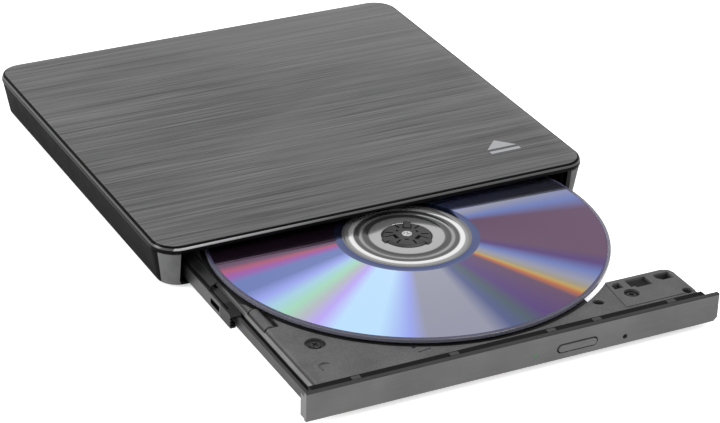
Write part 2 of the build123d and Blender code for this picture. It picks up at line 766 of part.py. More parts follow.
with BuildPart() as tray_screws:
    with BuildSketch(Plane.XY.offset(well_z)):
        with Locations(*engine_screw_spots, screw_right):
            Circle(1.7)
    extrude(amount=0.6)
    with BuildSketch(Plane.XY.offset(3.7)):
        with Locations(*engine_screw_spots):
            Circle(0.8)
    extrude(amount=well_z - 3.7)
    with BuildSketch(Plane.XY.offset(6.0)):
        with Locations(screw_right):
            Circle(0.7)
    extrude(amount=well_z - 6.0)
    for spot in engine_screw_spots + [screw_right]:
        with Locations((spot[0], spot[1], well_z + 0.5)):
            Box(1.8, 0.4, 0.4, mode=Mode.SUBTRACT)
            Box(0.4, 1.8, 0.4, mode=Mode.SUBTRACT)
save(tray_screws, "tray_screws")

with BuildPart() as sled_motor:
    with BuildSketch(along_engine(-12.0, screw_offset, screw_z)):
        Circle(2.3)
    extrude(amount=13.0)
    with BuildSketch(along_engine(-4.0, screw_offset, screw_z)):
        Circle(0.55)
    extrude(amount=6.0, mode=Mode.SUBTRACT)
save(sled_motor, "sled_motor")

with BuildPart() as lead_screw:
    with BuildSketch(along_engine(1.3, screw_offset, screw_z)):
        Circle(lead_radius)
    extrude(amount=60.7)
    with BuildSketch(along_engine(-3.6, screw_offset, screw_z)):
        Circle(0.5)
    extrude(amount=5.0)
    with BuildSketch(along_engine(61.9, screw_offset, screw_z)):
        Circle(0.4)
    extrude(amount=1.0)
save(lead_screw, "lead_screw")

with BuildPart() as sled:
    with BuildSketch(engine.offset(sled_low)):
        with Locations((lens_rest - 0.6, 0.0)):
            Rectangle(12.8, 2 * sled_half)
        for side in (-16.5, 16.5):
            with Locations((lens_rest - 10.0, side)):
                Rectangle(8.0, 3.6)
    extrude(amount=sled_high - sled_low)
    with BuildSketch(engine.offset(4.0)):
        with Locations((lens_rest, 0.0)):
            RectangleRounded(9.4, 12.4, 1.0)
    extrude(amount=3.0, mode=Mode.SUBTRACT)
    for side in (-rod_offset, rod_offset):
        with BuildSketch(along_engine(10.0, side, rod_z)):
            Circle(rod_radius + run_gap)
        extrude(amount=30.0, mode=Mode.SUBTRACT)
save(sled, "sled")

with BuildPart() as sled_nut:
    with BuildSketch(engine.offset(4.4)):
        with Locations((lens_rest, (sled_half + 21.6) / 2)):
            Rectangle(6.0, 21.6 - sled_half)
    extrude(amount=1.8)
    with BuildSketch(along_engine(20.0, screw_offset, screw_z)):
        Circle(lead_radius + run_gap)
    extrude(amount=20.0, mode=Mode.SUBTRACT)
save(sled_nut, "sled_nut")

with BuildPart() as lens_holder:
    with BuildSketch(engine.offset(4.7)):
        with Locations((lens_rest, 0.0)):
            RectangleRounded(8.0, 11.0, 1.2)
    extrude(amount=2.4)
    with BuildSketch(engine.offset(6.3)):
        with Locations((lens_rest, 0.0)):
            Circle(2.2)
    extrude(amount=2.0, mode=Mode.SUBTRACT)
save(lens_holder, "lens_holder")

with BuildPart() as lens:
    with BuildSketch(engine.offset(6.3)):
        with Locations((lens_rest, 0.0)):
            Circle(2.2)
    extrude(amount=0.9)
    fillet(lens.edges().group_by(Axis.Z)[-1], 0.7)
save(lens, "lens")

# Spindle.

with BuildPart() as spindle_base:
    with BuildSketch(engine.offset(3.3)):
        with Locations((-1.0, 0.0)):
            Rectangle(29.0, 27.0)
        Circle(2.0, mode=Mode.SUBTRACT)
    extrude(amount=0.3)
    with BuildSketch(spindle.offset(3.3)):
        Circle(2.2)
        Circle(1.0 + run_gap, mode=Mode.SUBTRACT)
    extrude(amount=2.3)
save(spindle_base, "spindle_base")

with BuildPart() as stator_core:
    with BuildSketch(spindle.offset(4.0)):
        Circle(4.0)
        with PolarLocations(6.6, 9):
            Rectangle(6.2, 1.4)
        with PolarLocations(9.6, 9):
            Rectangle(1.0, 4.2)
        Circle(2.25, mode=Mode.SUBTRACT)
    extrude(amount=1.3)
save(stator_core, "stator_core")

with BuildPart() as stator_coils:
    with BuildSketch(spindle.offset(3.75)):
        with PolarLocations(6.7, 9):
            Rectangle(4.0, 2.6)
    extrude(amount=1.8)
    with BuildSketch(spindle.offset(3.98)):
        with PolarLocations(6.7, 9):
            Rectangle(5.0, 1.44)
    extrude(amount=1.34, mode=Mode.SUBTRACT)
save(stator_coils, "stator_coils")

with BuildPart() as rotor:
    with BuildSketch(spindle.offset(4.2)):
        Circle(rotor_radius)
    extrude(amount=2.2)
    with BuildSketch(spindle.offset(4.2)):
        Circle(rotor_radius - 0.8)
    extrude(amount=1.7, mode=Mode.SUBTRACT)
    with BuildSketch(spindle.offset(5.0)):
        Circle(1.0)
    extrude(amount=2.0, mode=Mode.SUBTRACT)
save(rotor, "rotor")

with BuildPart() as turntable:
    with BuildSketch(spindle.offset(6.4)):
        Circle(turntable_radius)
        Circle(1.0, mode=Mode.SUBTRACT)
    extrude(amount=1.5)
    with BuildSketch(spindle.offset(7.6)):
        Circle(10.6)
        Circle(hub_radius, mode=Mode.SUBTRACT)
    extrude(amount=1.0, mode=Mode.SUBTRACT)
save(turntable, "turntable")

with BuildPart() as turntable_mat:
    with BuildSketch(spindle.offset(7.9)):
        Circle(13.8)
        Circle(10.8, mode=Mode.SUBTRACT)
    extrude(amount=disc_low - 7.9)
save(turntable_mat, "turntable_mat")

with BuildPart() as hub_cap:
    with BuildSketch(spindle.offset(7.9)):
        Circle(hub_radius)
    extrude(amount=2.3)
    chamfer(hub_cap.edges().group_by(Axis.Z)[-1], 0.5, 0.9)
    with BuildSketch(spindle.offset(8.5)):
        with PolarLocations(0, 3, start_angle=claw_angles[0]):
            with Locations((5.8, 0)):
                Rectangle(5.2, 2.6)
    extrude(amount=3.0, mode=Mode.SUBTRACT)
    with BuildSketch(spindle.offset(7.9)):
        Circle(1.6)
    extrude(amount=3.0, mode=Mode.SUBTRACT)
    # moulded dimples round the shaft, and a pair of slots beside each spring finger
    with BuildSketch(spindle.offset(9.7)):
        with PolarLocations(3.4, 3, start_angle=claw_angles[0] + 60.0):
            Rectangle(0.7, 1.2)
        for turn in (-26.0, 26.0):
            with PolarLocations(5.3, 3, start_angle=claw_angles[0] + 60.0 + turn):
                Rectangle(2.4, 0.6)
    extrude(amount=1.0, mode=Mode.SUBTRACT)
save(hub_cap, "hub_cap")

with BuildPart() as spindle_shaft:
    with BuildSketch(spindle.offset(3.45)):
        Circle(1.0)
    extrude(amount=6.75)
    with BuildSketch(spindle.offset(9.5)):
        Circle(1.55)
    extrude(amount=0.8)
    with BuildSketch(spindle.offset(9.9)):
        Circle(0.8)
    extrude(amount=1.0, mode=Mode.SUBTRACT)
save(spindle_shaft, "spindle_shaft")

for number, angle in enumerate(claw_angles, start=1):
    claw_plane = Plane(origin=(spindle_x, spindle_y, 0),
                       x_dir=(cos(radians(angle)), sin(radians(angle)), 0), z_dir=(0, 0, 1))
    with BuildPart() as claw:
        with BuildSketch(claw_plane.offset(8.6)):
            with Locations((5.7, 0.0)):
                Rectangle(3.0, 2.2)
        extrude(amount=1.5)
        with BuildSketch(claw_plane.offset(disc_low + disc_thick + 0.08)):
            with Locations((6.5, 0.0)):
                Rectangle(3.0, 2.2)
        extrude(amount=0.42)
    save(claw, "hub_claw_" + str(number))

with BuildPart() as disc:
    with BuildSketch(spindle.offset(disc_low)):
        Circle(disc_radius)
        Circle(disc_hole, mode=Mode.SUBTRACT)
    extrude(amount=disc_thick)
    chamfer(disc.edges().filter_by(GeomType.CIRCLE).group_by(SortBy.RADIUS)[-1], 0.15)
    with BuildSketch(spindle.offset(disc_low - 0.25)):
        Circle(17.6)
        Circle(16.8, mode=Mode.SUBTRACT)
    extrude(amount=0.4)
save(disc, "disc")

# Sliding rails.

rail_rear = 14.0
left_rail_front = -96.6
right_rail_front = -90.0
left_stop_joint = left_rail_front + 13.0
left_stop_length = 15.6
tongue_front = -83.0

with BuildPart() as left_rail:
    with BuildSketch(across(rail_rear)):
        with BuildLine():
            Polyline((-63.6, 3.05), (-61.9, 3.05), (-61.9, 4.3), (-62.9, 4.3), (-62.9, 6.1), (-61.9, 6.1),
                     (-61.9, 7.45), (-63.6, 7.45), close=True)
        make_face()
    extrude(amount=rail_rear - left_stop_joint)
    # flat tongue above the tray's rim
    with BuildSketch(Plane.XY.offset(7.4)):
        with Locations((-62.25, (rail_rear + tongue_front) / 2)):
            Rectangle(0.6, rail_rear - tongue_front)
    extrude(amount=1.15)
    with BuildSketch(Plane.XY.offset(8.2)):
        with BuildLine():
            Polyline((-62.55, -83.6), (-59.9, -82.2), (-59.9, rail_rear), (-62.55, rail_rear), close=True)
        make_face()
    extrude(amount=0.35)
save(left_rail, "left_rail")

with BuildPart() as left_rail_stop:
    with BuildSketch(across(left_stop_joint)):
        with BuildLine():
            Polyline((-63.65, 3.1), (-61.95, 3.1), (-61.95, 4.3), (-62.9, 4.3), (-62.9, 6.1), (-61.95, 6.1),
                     (-61.95, 6.55), (-60.3, 6.55), (-60.3, 7.4), (-63.65, 7.4), close=True)
        make_face()
    extrude(amount=left_stop_length)
    # window in the side and groove in the top
    cut((-64.0, left_rail_front + 5.0, 4.3), (-62.5, left_rail_front + 11.0, 6.1))
    cut((-63.0, left_rail_front + 1.0, 7.0), (-62.5, left_rail_front + 14.0, 8.0))
    # ribbed front end, rounded over at the top
    chamfer(left_rail_stop.faces().sort_by(Axis.Y)[0].edges().sort_by(Axis.Z)[-1], 0.8)
    for step in range(3):
        rib_z = 3.9 + step * 0.95
        cut((-64.0, left_rail_front - 2.7, rib_z), (-60.0, left_rail_front - 2.1, rib_z + 0.4))
save(left_rail_stop, "left_rail_stop")

with BuildPart() as right_rail:
    with BuildSketch(across(rail_rear)):
        with BuildLine():
            Polyline((34.0, 3.05), (32.3, 3.05), (32.3, 4.3), (33.3, 4.3), (33.3, 6.1), (32.3, 6.1),
                     (32.3, 7.45), (34.0, 7.45), close=True)
        make_face()
    extrude(amount=rail_rear - right_rail_front)
save(right_rail, "right_rail")
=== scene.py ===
import json
import math

import bmesh
import bpy
from mathutils import Matrix, Vector

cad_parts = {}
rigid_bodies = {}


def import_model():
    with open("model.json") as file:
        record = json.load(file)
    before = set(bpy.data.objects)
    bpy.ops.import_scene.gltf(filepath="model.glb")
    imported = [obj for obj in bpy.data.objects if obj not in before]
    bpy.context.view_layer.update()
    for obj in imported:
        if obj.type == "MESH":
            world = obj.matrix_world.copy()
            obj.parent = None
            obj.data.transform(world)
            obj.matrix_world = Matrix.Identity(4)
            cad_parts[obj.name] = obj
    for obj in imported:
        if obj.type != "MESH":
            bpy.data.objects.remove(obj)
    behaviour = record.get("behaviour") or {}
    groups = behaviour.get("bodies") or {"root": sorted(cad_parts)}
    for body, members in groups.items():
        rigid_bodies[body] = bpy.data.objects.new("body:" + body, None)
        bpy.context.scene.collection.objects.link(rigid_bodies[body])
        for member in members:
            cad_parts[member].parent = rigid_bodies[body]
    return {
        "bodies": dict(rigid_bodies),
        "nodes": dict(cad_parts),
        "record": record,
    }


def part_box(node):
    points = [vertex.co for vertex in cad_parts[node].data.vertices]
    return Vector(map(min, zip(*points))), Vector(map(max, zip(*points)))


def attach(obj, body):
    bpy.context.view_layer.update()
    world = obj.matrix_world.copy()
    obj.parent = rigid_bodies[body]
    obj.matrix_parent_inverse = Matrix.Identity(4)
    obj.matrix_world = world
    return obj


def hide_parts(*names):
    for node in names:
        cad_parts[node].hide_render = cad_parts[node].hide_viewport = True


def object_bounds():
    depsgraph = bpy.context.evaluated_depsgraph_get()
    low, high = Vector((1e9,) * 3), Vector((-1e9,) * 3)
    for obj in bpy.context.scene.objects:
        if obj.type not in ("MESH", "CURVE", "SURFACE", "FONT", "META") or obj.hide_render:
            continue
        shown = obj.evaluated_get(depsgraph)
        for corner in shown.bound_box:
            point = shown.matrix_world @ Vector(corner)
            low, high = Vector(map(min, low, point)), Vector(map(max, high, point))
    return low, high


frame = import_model()
cadLow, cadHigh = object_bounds()
nodes = frame["nodes"]
mm = 0.001
print("frame loaded:", len(nodes), "parts")


# camera, floor and light

cameraSettings = {
    "azimuth": -27.76,
    "elevation": 27.89,
    "roll": 1.77,
    "aim": (-0.0044, -0.0623, 0.0096),
    "distance": 0.7812,
    "lens": 130.63,
    "sensor": 36.0,
}
studio = {
    "floorSize": 6.0,
    "floorShade": 0.88,
    "floorGlow": 0.55,
    "skyShade": 1.0,
    "skyStrength": 1.0,
    # degrees round from the front and up, metres away, watts and metres across
    "lamps": {
        "keyLamp": {"azimuth": 35, "elevation": 62, "distance": 1.3, "power": 9.0, "size": 0.9},
        "fillLamp": {"azimuth": 25, "elevation": 30, "distance": 1.5, "power": 2.2, "size": 0.7},
        "sideLamp": {"azimuth": -98, "elevation": 20, "distance": 1.0, "power": 7.0, "size": 0.5},
    },
}


def addObject(name, data):
    made = bpy.data.objects.new(name, data)
    bpy.context.scene.collection.objects.link(made)
    return made


def turnAway(azimuth, elevation):
    turn, rise = math.radians(azimuth), math.radians(elevation)
    return Vector((math.sin(turn) * math.cos(rise), -math.cos(turn) * math.cos(rise), math.sin(rise)))


def makeCamera(look):
    back = turnAway(look["azimuth"], look["elevation"])
    right = (-back).cross(Vector((0, 0, 1))).normalized()
    up = right.cross(-back)
    roll = math.radians(look["roll"])
    rolledRight = math.cos(roll) * right + math.sin(roll) * up
    rolledUp = math.cos(roll) * up - math.sin(roll) * right
    camera = addObject("camera", bpy.data.cameras.new("camera"))
    camera.data.sensor_width = look["sensor"]
    camera.data.lens = look["lens"]
    camera.rotation_mode = "QUATERNION"
    camera.location = Vector(look["aim"]) + back * look["distance"]
    camera.rotation_quaternion = Matrix((rolledRight, rolledUp, back)).transposed().to_quaternion()
    bpy.context.scene.camera = camera


def addLamp(name, azimuth, elevation, distance, power, size):
    lamp = addObject(name, bpy.data.lights.new(name, "AREA"))
    lamp.data.shape = "DISK"
    lamp.data.size = size
    lamp.data.energy = power
    back = turnAway(azimuth, elevation)
    lamp.location = back * distance
    lamp.rotation_mode = "QUATERNION"
    lamp.rotation_quaternion = (-back).to_track_quat("-Z", "Y")


makeCamera(cameraSettings)
for lampName, lampSettings in studio["lamps"].items():
    addLamp(lampName, **lampSettings)
bpy.context.scene.view_settings.view_transform = "Standard"
print("camera and lamps set")


# node wrapper for shaders and growth trees

class Wire:
    def __init__(self, tree, socket=None):
        self.tree, self.socket = tree, socket

    def node(self, kind, settings=None, inputs=None, output=0):
        made = self.tree.nodes.new(kind)
        for key, value in (settings or {}).items():
            if key == "stops":
                fillRamp(made.color_ramp, value)
            else:
                setattr(made, key, value)
        for key, value in (inputs or {}).items():
            if isinstance(value, Wire):
                self.tree.links.new(value.socket, made.inputs[key])
            else:
                made.inputs[key].default_value = value
        return Wire(self.tree, made.outputs[output])

    def out(self, name):
        return Wire(self.tree, self.socket.node.outputs[name])

    def maths(self, operation, first, second=0.0):
        return self.node("ShaderNodeMath", {"operation": operation}, {0: first, 1: second})

    def apply(self, operation, other=0.0):
        return self.maths(operation, self, other)

    def __add__(self, other):
        return self.apply("ADD", other)

    __radd__ = __add__

    def __sub__(self, other):
        return self.apply("SUBTRACT", other)

    def __rsub__(self, other):
        return self.maths("SUBTRACT", other, self)

    def __mul__(self, other):
        return self.apply("MULTIPLY", other)

    __rmul__ = __mul__

    def __truediv__(self, other):
        return self.apply("DIVIDE", other)

    def __gt__(self, other):
        return self.apply("GREATER_THAN", other)

    def __lt__(self, other):
        return self.apply("LESS_THAN", other)

    def between(self, low, high):
        return (self > low) * (self < high)

    def spread(self, low, high, start=0.0, end=1.0):
        return self.node("ShaderNodeMapRange", {}, {0: self, 1: low, 2: high, 3: start, 4: end})


def fillRamp(ramp, stops):
    ramp.elements.remove(ramp.elements[1])
    ramp.elements[0].position = stops[0][0]
    ramp.elements[0].color = (*stops[0][1], 1.0)
    for place, colour in stops[1:]:
        ramp.elements.new(place).color = (*colour, 1.0)


def shade(*levels):
    # display levels 0..255 to the linear values that sockets take
    if len(levels) == 1:
        levels = levels * 3
    return tuple((v / 255 / 12.92) if v <= 10 else ((v / 255 + 0.055) / 1.055) ** 2.4 for v in levels)


def full(colour):
    return (*colour, 1.0)


def mixColour(factor, first, second):
    settings = {"data_type": "RGBA", "clamp_factor": True}
    pair = [value if isinstance(value, Wire) else full(value) for value in (first, second)]
    return factor.node("ShaderNodeMix", settings, {0: factor, 6: pair[0], 7: pair[1]}, output=2)


def noise(place, scale, detail=2.0, roughness=0.5):
    stretched = place.node("ShaderNodeMapping", {}, {"Vector": place, "Scale": scale})
    inputs = {"Vector": stretched, "Scale": 1.0, "Detail": detail, "Roughness": roughness}
    return place.node("ShaderNodeTexNoise", {}, inputs)


def grain(place, size, detail=2.0):
    return noise(place, (1 / size,) * 3, detail)


def bump(height, distance):
    return height.node("ShaderNodeBump", {}, {"Height": height, "Distance": distance, "Strength": 1.0})


def split(place):
    parts = place.node("ShaderNodeSeparateXYZ", {}, {"Vector": place})
    return parts, parts.out("Y"), parts.out("Z")


def finish(name, fixed, vary):
    material = bpy.data.materials.new(name)
    material.use_nodes = True
    tree = material.node_tree
    tree.nodes.clear()
    base = Wire(tree)
    place = base.node("ShaderNodeTexCoord", output="Object")
    inputs = dict(fixed)
    inputs.update(vary(place))
    shader = base.node("ShaderNodeBsdfPrincipled", {}, inputs)
    end = tree.nodes.new("ShaderNodeOutputMaterial")
    tree.links.new(shader.socket, end.inputs["Surface"])
    return material


def moulded(name, low, high, roughness, texture, depth, speck=0.0, specular=0.5):
    # moulded plastic or paint: soft clouding and a fine texture; speck is the texture's share of the tone
    def vary(place):
        cloud = grain(place, 9 * mm, 3.0)
        skin = grain(place, texture, 2.0)
        tone = cloud.spread(0.3, 0.7) * (1 - speck) + skin.spread(0.35, 0.65) * speck
        return {
            "Base Color": mixColour(tone, low, high),
            "Roughness": cloud.spread(0.3, 0.7, roughness - 0.05, roughness + 0.06),
            "Normal": bump(skin, depth),
        }
    return finish(name, {"Specular IOR Level": specular}, vary)


def sheetMetal(name, low, high, roughness, along="X"):
    # rolled sheet: fine grain in one direction and slight staining
    stretch = {"X": (60.0, 3000.0, 3000.0), "Y": (3000.0, 60.0, 3000.0)}[along]

    def vary(place):
        rolled = noise(place, stretch, 3.0)
        stain = grain(place, 14 * mm, 3.0)
        tone = rolled.spread(0.3, 0.7) * 0.6 + stain.spread(0.35, 0.65) * 0.4
        return {
            "Base Color": mixColour(tone, low, high),
            "Roughness": tone.spread(0.0, 1.0, roughness - 0.08, roughness + 0.1),
            "Normal": bump(rolled, 0.004 * mm),
        }
    return finish(name, {"Metallic": 1.0}, vary)


# finishes for every material slot

lidLow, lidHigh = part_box("top_cover")
lidFilm = {
    "dark": shade(16),
    "light": shade(94),
    # per streak layer: waves per metre, detail, roughness, contrast and share of the tone
    "layers": [((24.0, 3900.0, 1.0), 3.0, 0.7, 0.17, 0.36), ((11.0, 1250.0, 1.0), 4.0, 0.7, 0.16, 0.36),
               ((6.0, 300.0, 1.0), 3.0, 0.6, 0.18, 0.16), ((9.0, 16.0, 1.0), 2.0, 0.5, 0.15, 0.12)],
    "printed": shade(140, 141, 144),
    "ink": 0.85,
    # the sign's place from the lid's front right corner, and its half width, which is its height too
    "signInset": (20.5 * mm, 19.25 * mm),
    "signSize": 5.2 * mm,
    "signBar": (-2.85 * mm, -1.35 * mm),
}
# the rolled edge is black, with a grey painted highlight band; sides and front give the band's tones
lidEdge = {
    "black": shade(6),
    "sides": (shade(62), shade(78)),
    "front": (shade(150), shade(74)),
    # how far the front reaches back, and how far in from the left its painted highlight fades
    "frontDepth": 1.0 * mm,
    "fade": (6.0 * mm, 58.0 * mm),
    # depths below the lid's top between which a highlight is painted on the rolled edge
    "glint": (0.42 * mm, 1.05 * mm),
}


def brushedFilm(place):
    # streaks of several lengths and widths along X
    x, y = split(place)[:2]
    streaks = 0.0
    for scale, detail, roughness, contrast, share in lidFilm["layers"]:
        layer = noise(place, scale, detail, roughness)
        streaks = layer.spread(0.5 - contrast, 0.5 + contrast) * share + streaks
    streaks = streaks.spread(0.18, 0.82)
    # plain eject sign: a triangle over a bar
    size = lidFilm["signSize"]
    across = (x - (lidHigh.x - lidFilm["signInset"][0])).apply("ABSOLUTE")
    upward = y - (lidLow.y + lidFilm["signInset"][1])
    triangle = (upward < (across * -1.0 + size)) * (upward > 0.0)
    bar = upward.between(*lidFilm["signBar"]) * (across < size)
    body = mixColour(streaks, lidFilm["dark"], lidFilm["light"])
    return {
        "Base Color": mixColour((triangle + bar) * lidFilm["ink"], body, lidFilm["printed"]),
        "Roughness": streaks * 0.12 + 0.3,
        "Normal": bump(streaks, 0.008 * mm),
    }


def rolledEdge(place):
    x, y, z = split(place)
    near, far = lidEdge["glint"]
    glint = z.between(cadHigh.z - far, cadHigh.z - near)
    # random variation of the painted highlight's tone and of the edge's roughness
    edgeNoise = noise(place, (30.0, 30.0, 900.0), 3.0)
    # painted highlight: brighter on the front edge, and brightest at its left end
    start, end = lidEdge["fade"]
    front = mixColour(x.spread(lidLow.x + start, lidLow.x + end), *lidEdge["front"])
    highlightTone = mixColour(y < lidLow.y + lidEdge["frontDepth"], mixColour(edgeNoise, *lidEdge["sides"]), front)
    return {
        "Base Color": mixColour(glint, lidEdge["black"], highlightTone),
        "Metallic": glint * 0.5,
        "Roughness": edgeNoise * 0.06 + glint * 0.2 + 0.08,
    }


# the top tone: the bezel's top made near black, partly its black rear part and partly painted shade of the
# gap behind
bezelTones = {"face": (shade(66), shade(82)), "top": shade(16), "topDepth": 0.3 * mm}
frameTones = {"black": (shade(10), shade(18)), "clips": shade(58), "clipDepth": 0.28 * mm}


def satinFace(place):
    # satin face with a faint hairline, and a black top that is partly painted shade
    z = split(place)[2]
    fine = noise(place, (60.0, 60.0, 2600.0), 2.0)
    cloud = grain(place, 16 * mm, 2.0)
    tone = fine.spread(0.3, 0.7) * 0.35 + cloud.spread(0.35, 0.65) * 0.65
    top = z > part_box("bezel")[1].z - bezelTones["topDepth"]
    return {
        "Base Color": mixColour(top, mixColour(tone, *bezelTones["face"]), bezelTones["top"]),
        "Roughness": tone.spread(0.0, 1.0, 0.37, 0.49),
        "Normal": bump(fine, 0.003 * mm),
    }


def frameAndClips(place):
    # black frame whose clips, its highest parts, are lighter
    z = split(place)[2]
    skin = grain(place, 0.4 * mm, 2.0)
    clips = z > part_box("bezel_frame")[1].z - frameTones["clipDepth"]
    return {
        "Base Color": mixColour(clips, mixColour(skin, *frameTones["black"]), frameTones["clips"]),
        "Roughness": skin.spread(0.3, 0.7, 0.4, 0.5),
        "Normal": bump(skin, 0.006 * mm),
    }


# a painted highlight on the left slope, and painted shade in the channel and the recesses
trayZones = {
    "deck": (shade(50, 49, 50), shade(82, 81, 82)),
    "paintedSlopeHighlight": (shade(88), shade(108)),
    "hollow": shade(16),
    "hollowShare": 0.75,
    # how far in from the tray's leftmost point its slope with a painted highlight lies
    "slope": (2.2 * mm, 3.9 * mm),
    # heights above which the slope gets a painted highlight and below which a recess or the channel gets
    # painted shade
    "slopeFoot": 6.1 * mm,
    "hollowTop": 7.6 * mm,
}


def trayDeck(place):
    # textured plastic, with painted shade in the left channel and the recesses, and a painted highlight on
    # the slope between
    x, z = split(place)[::2]
    cloud = grain(place, 9 * mm, 3.0)
    skin = grain(place, 0.32 * mm, 2.0)
    tone = cloud.spread(0.3, 0.7) * 0.45 + skin.spread(0.35, 0.65) * 0.55
    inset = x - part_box("tray")[0].x
    slope = inset.between(*trayZones["slope"]) * (z > trayZones["slopeFoot"])
    hollow = (z < trayZones["hollowTop"]) * (1.0 - slope)
    colour = mixColour(slope, mixColour(tone, *trayZones["deck"]), mixColour(tone, *trayZones["paintedSlopeHighlight"]))
    return {
        "Base Color": mixColour(hollow * trayZones["hollowShare"], colour, trayZones["hollow"]),
        "Roughness": cloud.spread(0.3, 0.7, 0.5, 0.61),
        "Normal": bump(skin, 0.02 * mm),
    }


def boardMask(place):
    weave = grain(place, 0.25 * mm, 1.0)
    lanes = place.node("ShaderNodeTexVoronoi", {"distance": "MANHATTAN"},
                       {"Vector": place, "Scale": 420.0})
    track = lanes.spread(0.30, 0.36)
    return {
        "Base Color": mixColour(track, shade(22, 74, 44), shade(36, 104, 62)),
        "Roughness": weave.spread(0.3, 0.7, 0.28, 0.42),
        "Normal": bump(track, 0.03 * mm),
    }


def clearRod(place):
    cloud = grain(place, 1.5 * mm, 2.0)
    return {
        "Base Color": mixColour(cloud, shade(48, 76, 58), shade(72, 102, 82)),
        "Roughness": cloud.spread(0.2, 0.8, 0.12, 0.3),
        "Emission Color": mixColour(cloud, shade(60, 130, 80), shade(90, 170, 110)),
    }


def woundCopper(place):
    cloud = grain(place, 0.7 * mm, 2.0)
    return {
        "Base Color": mixColour(cloud.spread(0.3, 0.7), shade(150, 78, 40), shade(205, 122, 70)),
        "Roughness": cloud.spread(0.2, 0.8, 0.22, 0.4),
    }


def coatedLens(place):
    cloud = grain(place, 1.2 * mm, 2.0)
    return {
        "Base Color": mixColour(cloud, shade(60, 70, 150), shade(120, 90, 190)),
        "Roughness": cloud.spread(0.2, 0.8, 0.03, 0.1),
    }


def groundSteel(place):
    grain = noise(place, (900.0, 900.0, 900.0), 3.0)
    return {
        "Base Color": mixColour(grain.spread(0.3, 0.7), shade(165), shade(215)),
        "Roughness": grain.spread(0.2, 0.8, 0.16, 0.32),
        "Normal": bump(grain, 0.002 * mm),
    }


def softRubber(place):
    pore = grain(place, 0.35 * mm, 3.0)
    dust = grain(place, 6 * mm, 3.0)
    return {
        "Base Color": mixColour(dust.spread(0.4, 0.75), shade(20), shade(40)),
        "Roughness": pore.spread(0.3, 0.7, 0.75, 0.95),
        "Normal": bump(pore, 0.02 * mm),
    }


finishes = {
    "brushed_top": finish("brushedFilm", {"Specular IOR Level": 0.28}, brushedFilm),
    "shell_plastic": moulded("shellPlastic", shade(10), shade(16), 0.5, 0.35 * mm, 0.010 * mm, 0.3, 0.012),
    "rubber": finish("softRubber", {"Specular IOR Level": 0.2}, softRubber),
    "screw_steel": finish("screwSteel", {"Metallic": 1.0}, groundSteel),
    "sheet_steel": sheetMetal("sheetSteel", shade(150, 152, 155), shade(190, 191, 194), 0.36),
    "rail_steel": sheetMetal("railSteel", shade(74, 73, 72), shade(112, 111, 110), 0.38, "Y"),
    "board": finish("boardMask", {}, boardMask),
    "chip_black": moulded("chipBlack", shade(24), shade(38), 0.5, 0.12 * mm, 0.006 * mm, 0.5),
    "connector_plastic": moulded("connectorPlastic", shade(196, 190, 170), shade(222, 216, 198), 0.45,
                                 0.2 * mm, 0.004 * mm),
    "capacitor_can": sheetMetal("capacitorCan", shade(180), shade(222), 0.25),
    "socket_metal": sheetMetal("socketMetal", shade(160), shade(212), 0.22),
    "tray_plastic": finish("trayDeck", {"Specular IOR Level": 0.3}, trayDeck),
    "bezel_plastic": finish("bezelSatin", {"Specular IOR Level": 0.28}, satinFace),
    "black_plastic": moulded("blackPlastic", shade(12), shade(20), 0.42, 0.4 * mm, 0.006 * mm, 0.3, 0.03),
    # chassis steel made near black as painted shade of the dark bay under the lid
    "chassis_steel": moulded("chassisSteelShadedBlack", shade(8), shade(15), 0.5, 0.5 * mm, 0.004 * mm, 0.2, 0.05),
    "black_screw": moulded("blackScrew", shade(9), shade(20), 0.35, 0.3 * mm, 0.004 * mm, 0.3, 0.3),
    "clear_plastic": finish("clearRod", {"Emission Strength": 0.01, "Specular IOR Level": 0.2}, clearRod),
    "led": finish("lampLens", {"Emission Strength": 0.05, "Specular IOR Level": 0.2}, clearRod),
    "cast_metal": moulded("castMetal", shade(118), shade(150), 0.5, 0.3 * mm, 0.02 * mm, 0.4),
    "rod_steel": finish("rodSteel", {"Metallic": 1.0}, groundSteel),
    "copper": finish("woundCopper", {"Metallic": 1.0}, woundCopper),
    "lens_glass": finish("coatedLens", {"Metallic": 0.3, "Coat Weight": 1.0}, coatedLens),
}


# the disc: painted reflection colours fan out by angle, and the clear hub zone's painted tones change by
# radius

hues = {
    "plum": (70, 50, 72), "mauve": (100, 74, 100), "rose": (170, 88, 118), "violet": (152, 88, 168),
    "steel": (106, 122, 182), "periwinkle": (152, 164, 236), "ice": (164, 206, 224),
    "pearl": (178, 184, 192), "lilac": (184, 164, 242), "sky": (186, 222, 252), "slate": (146, 148, 166),
    "navy": (80, 90, 136), "teal": (74, 90, 102), "grape": (84, 60, 120), "amber": (188, 108, 66),
    "gold": (188, 158, 84), "sand": (158, 148, 124), "mint": (162, 214, 186),
}
discFan = {
    # degrees round the disc from +X towards +Y, and the hue there; the hues are the disc's rainbow
    # reflection, painted
    "first": [(150, "plum"), (174, "mauve"), (177, "rose"), (180, "violet"), (184, "steel"),
              (190, "steel"), (196, "periwinkle"), (201, "ice"), (206, "mint"), (211, "pearl"),
              (216, "lilac"), (222, "sky"), (234, "sky"), (243, "periwinkle"), (248, "slate"),
              (266, "slate"), (273, "navy"), (279, "teal"), (285, "grape")],
    "second": [(285, "grape"), (298, "mauve"), (301, "amber"), (302.5, "gold"), (304.5, "sand"),
               (308, "slate"), (314, "steel"), (320, "grape"), (326, "mauve"), (355, "mauve"),
               (362, "steel"), (370, "slate"), (390, "periwinkle"), (405, "ice"), (420, "mint"),
               (435, "lilac"), (450, "periwinkle"), (470, "steel"), (490, "grape"), (510, "plum")],
    # the colours fan out from a point beside the disc's centre, and their angles are given at this radius
    "shift": (2.0 * mm, 4.5 * mm),
    "radius": 45.0 * mm,
}
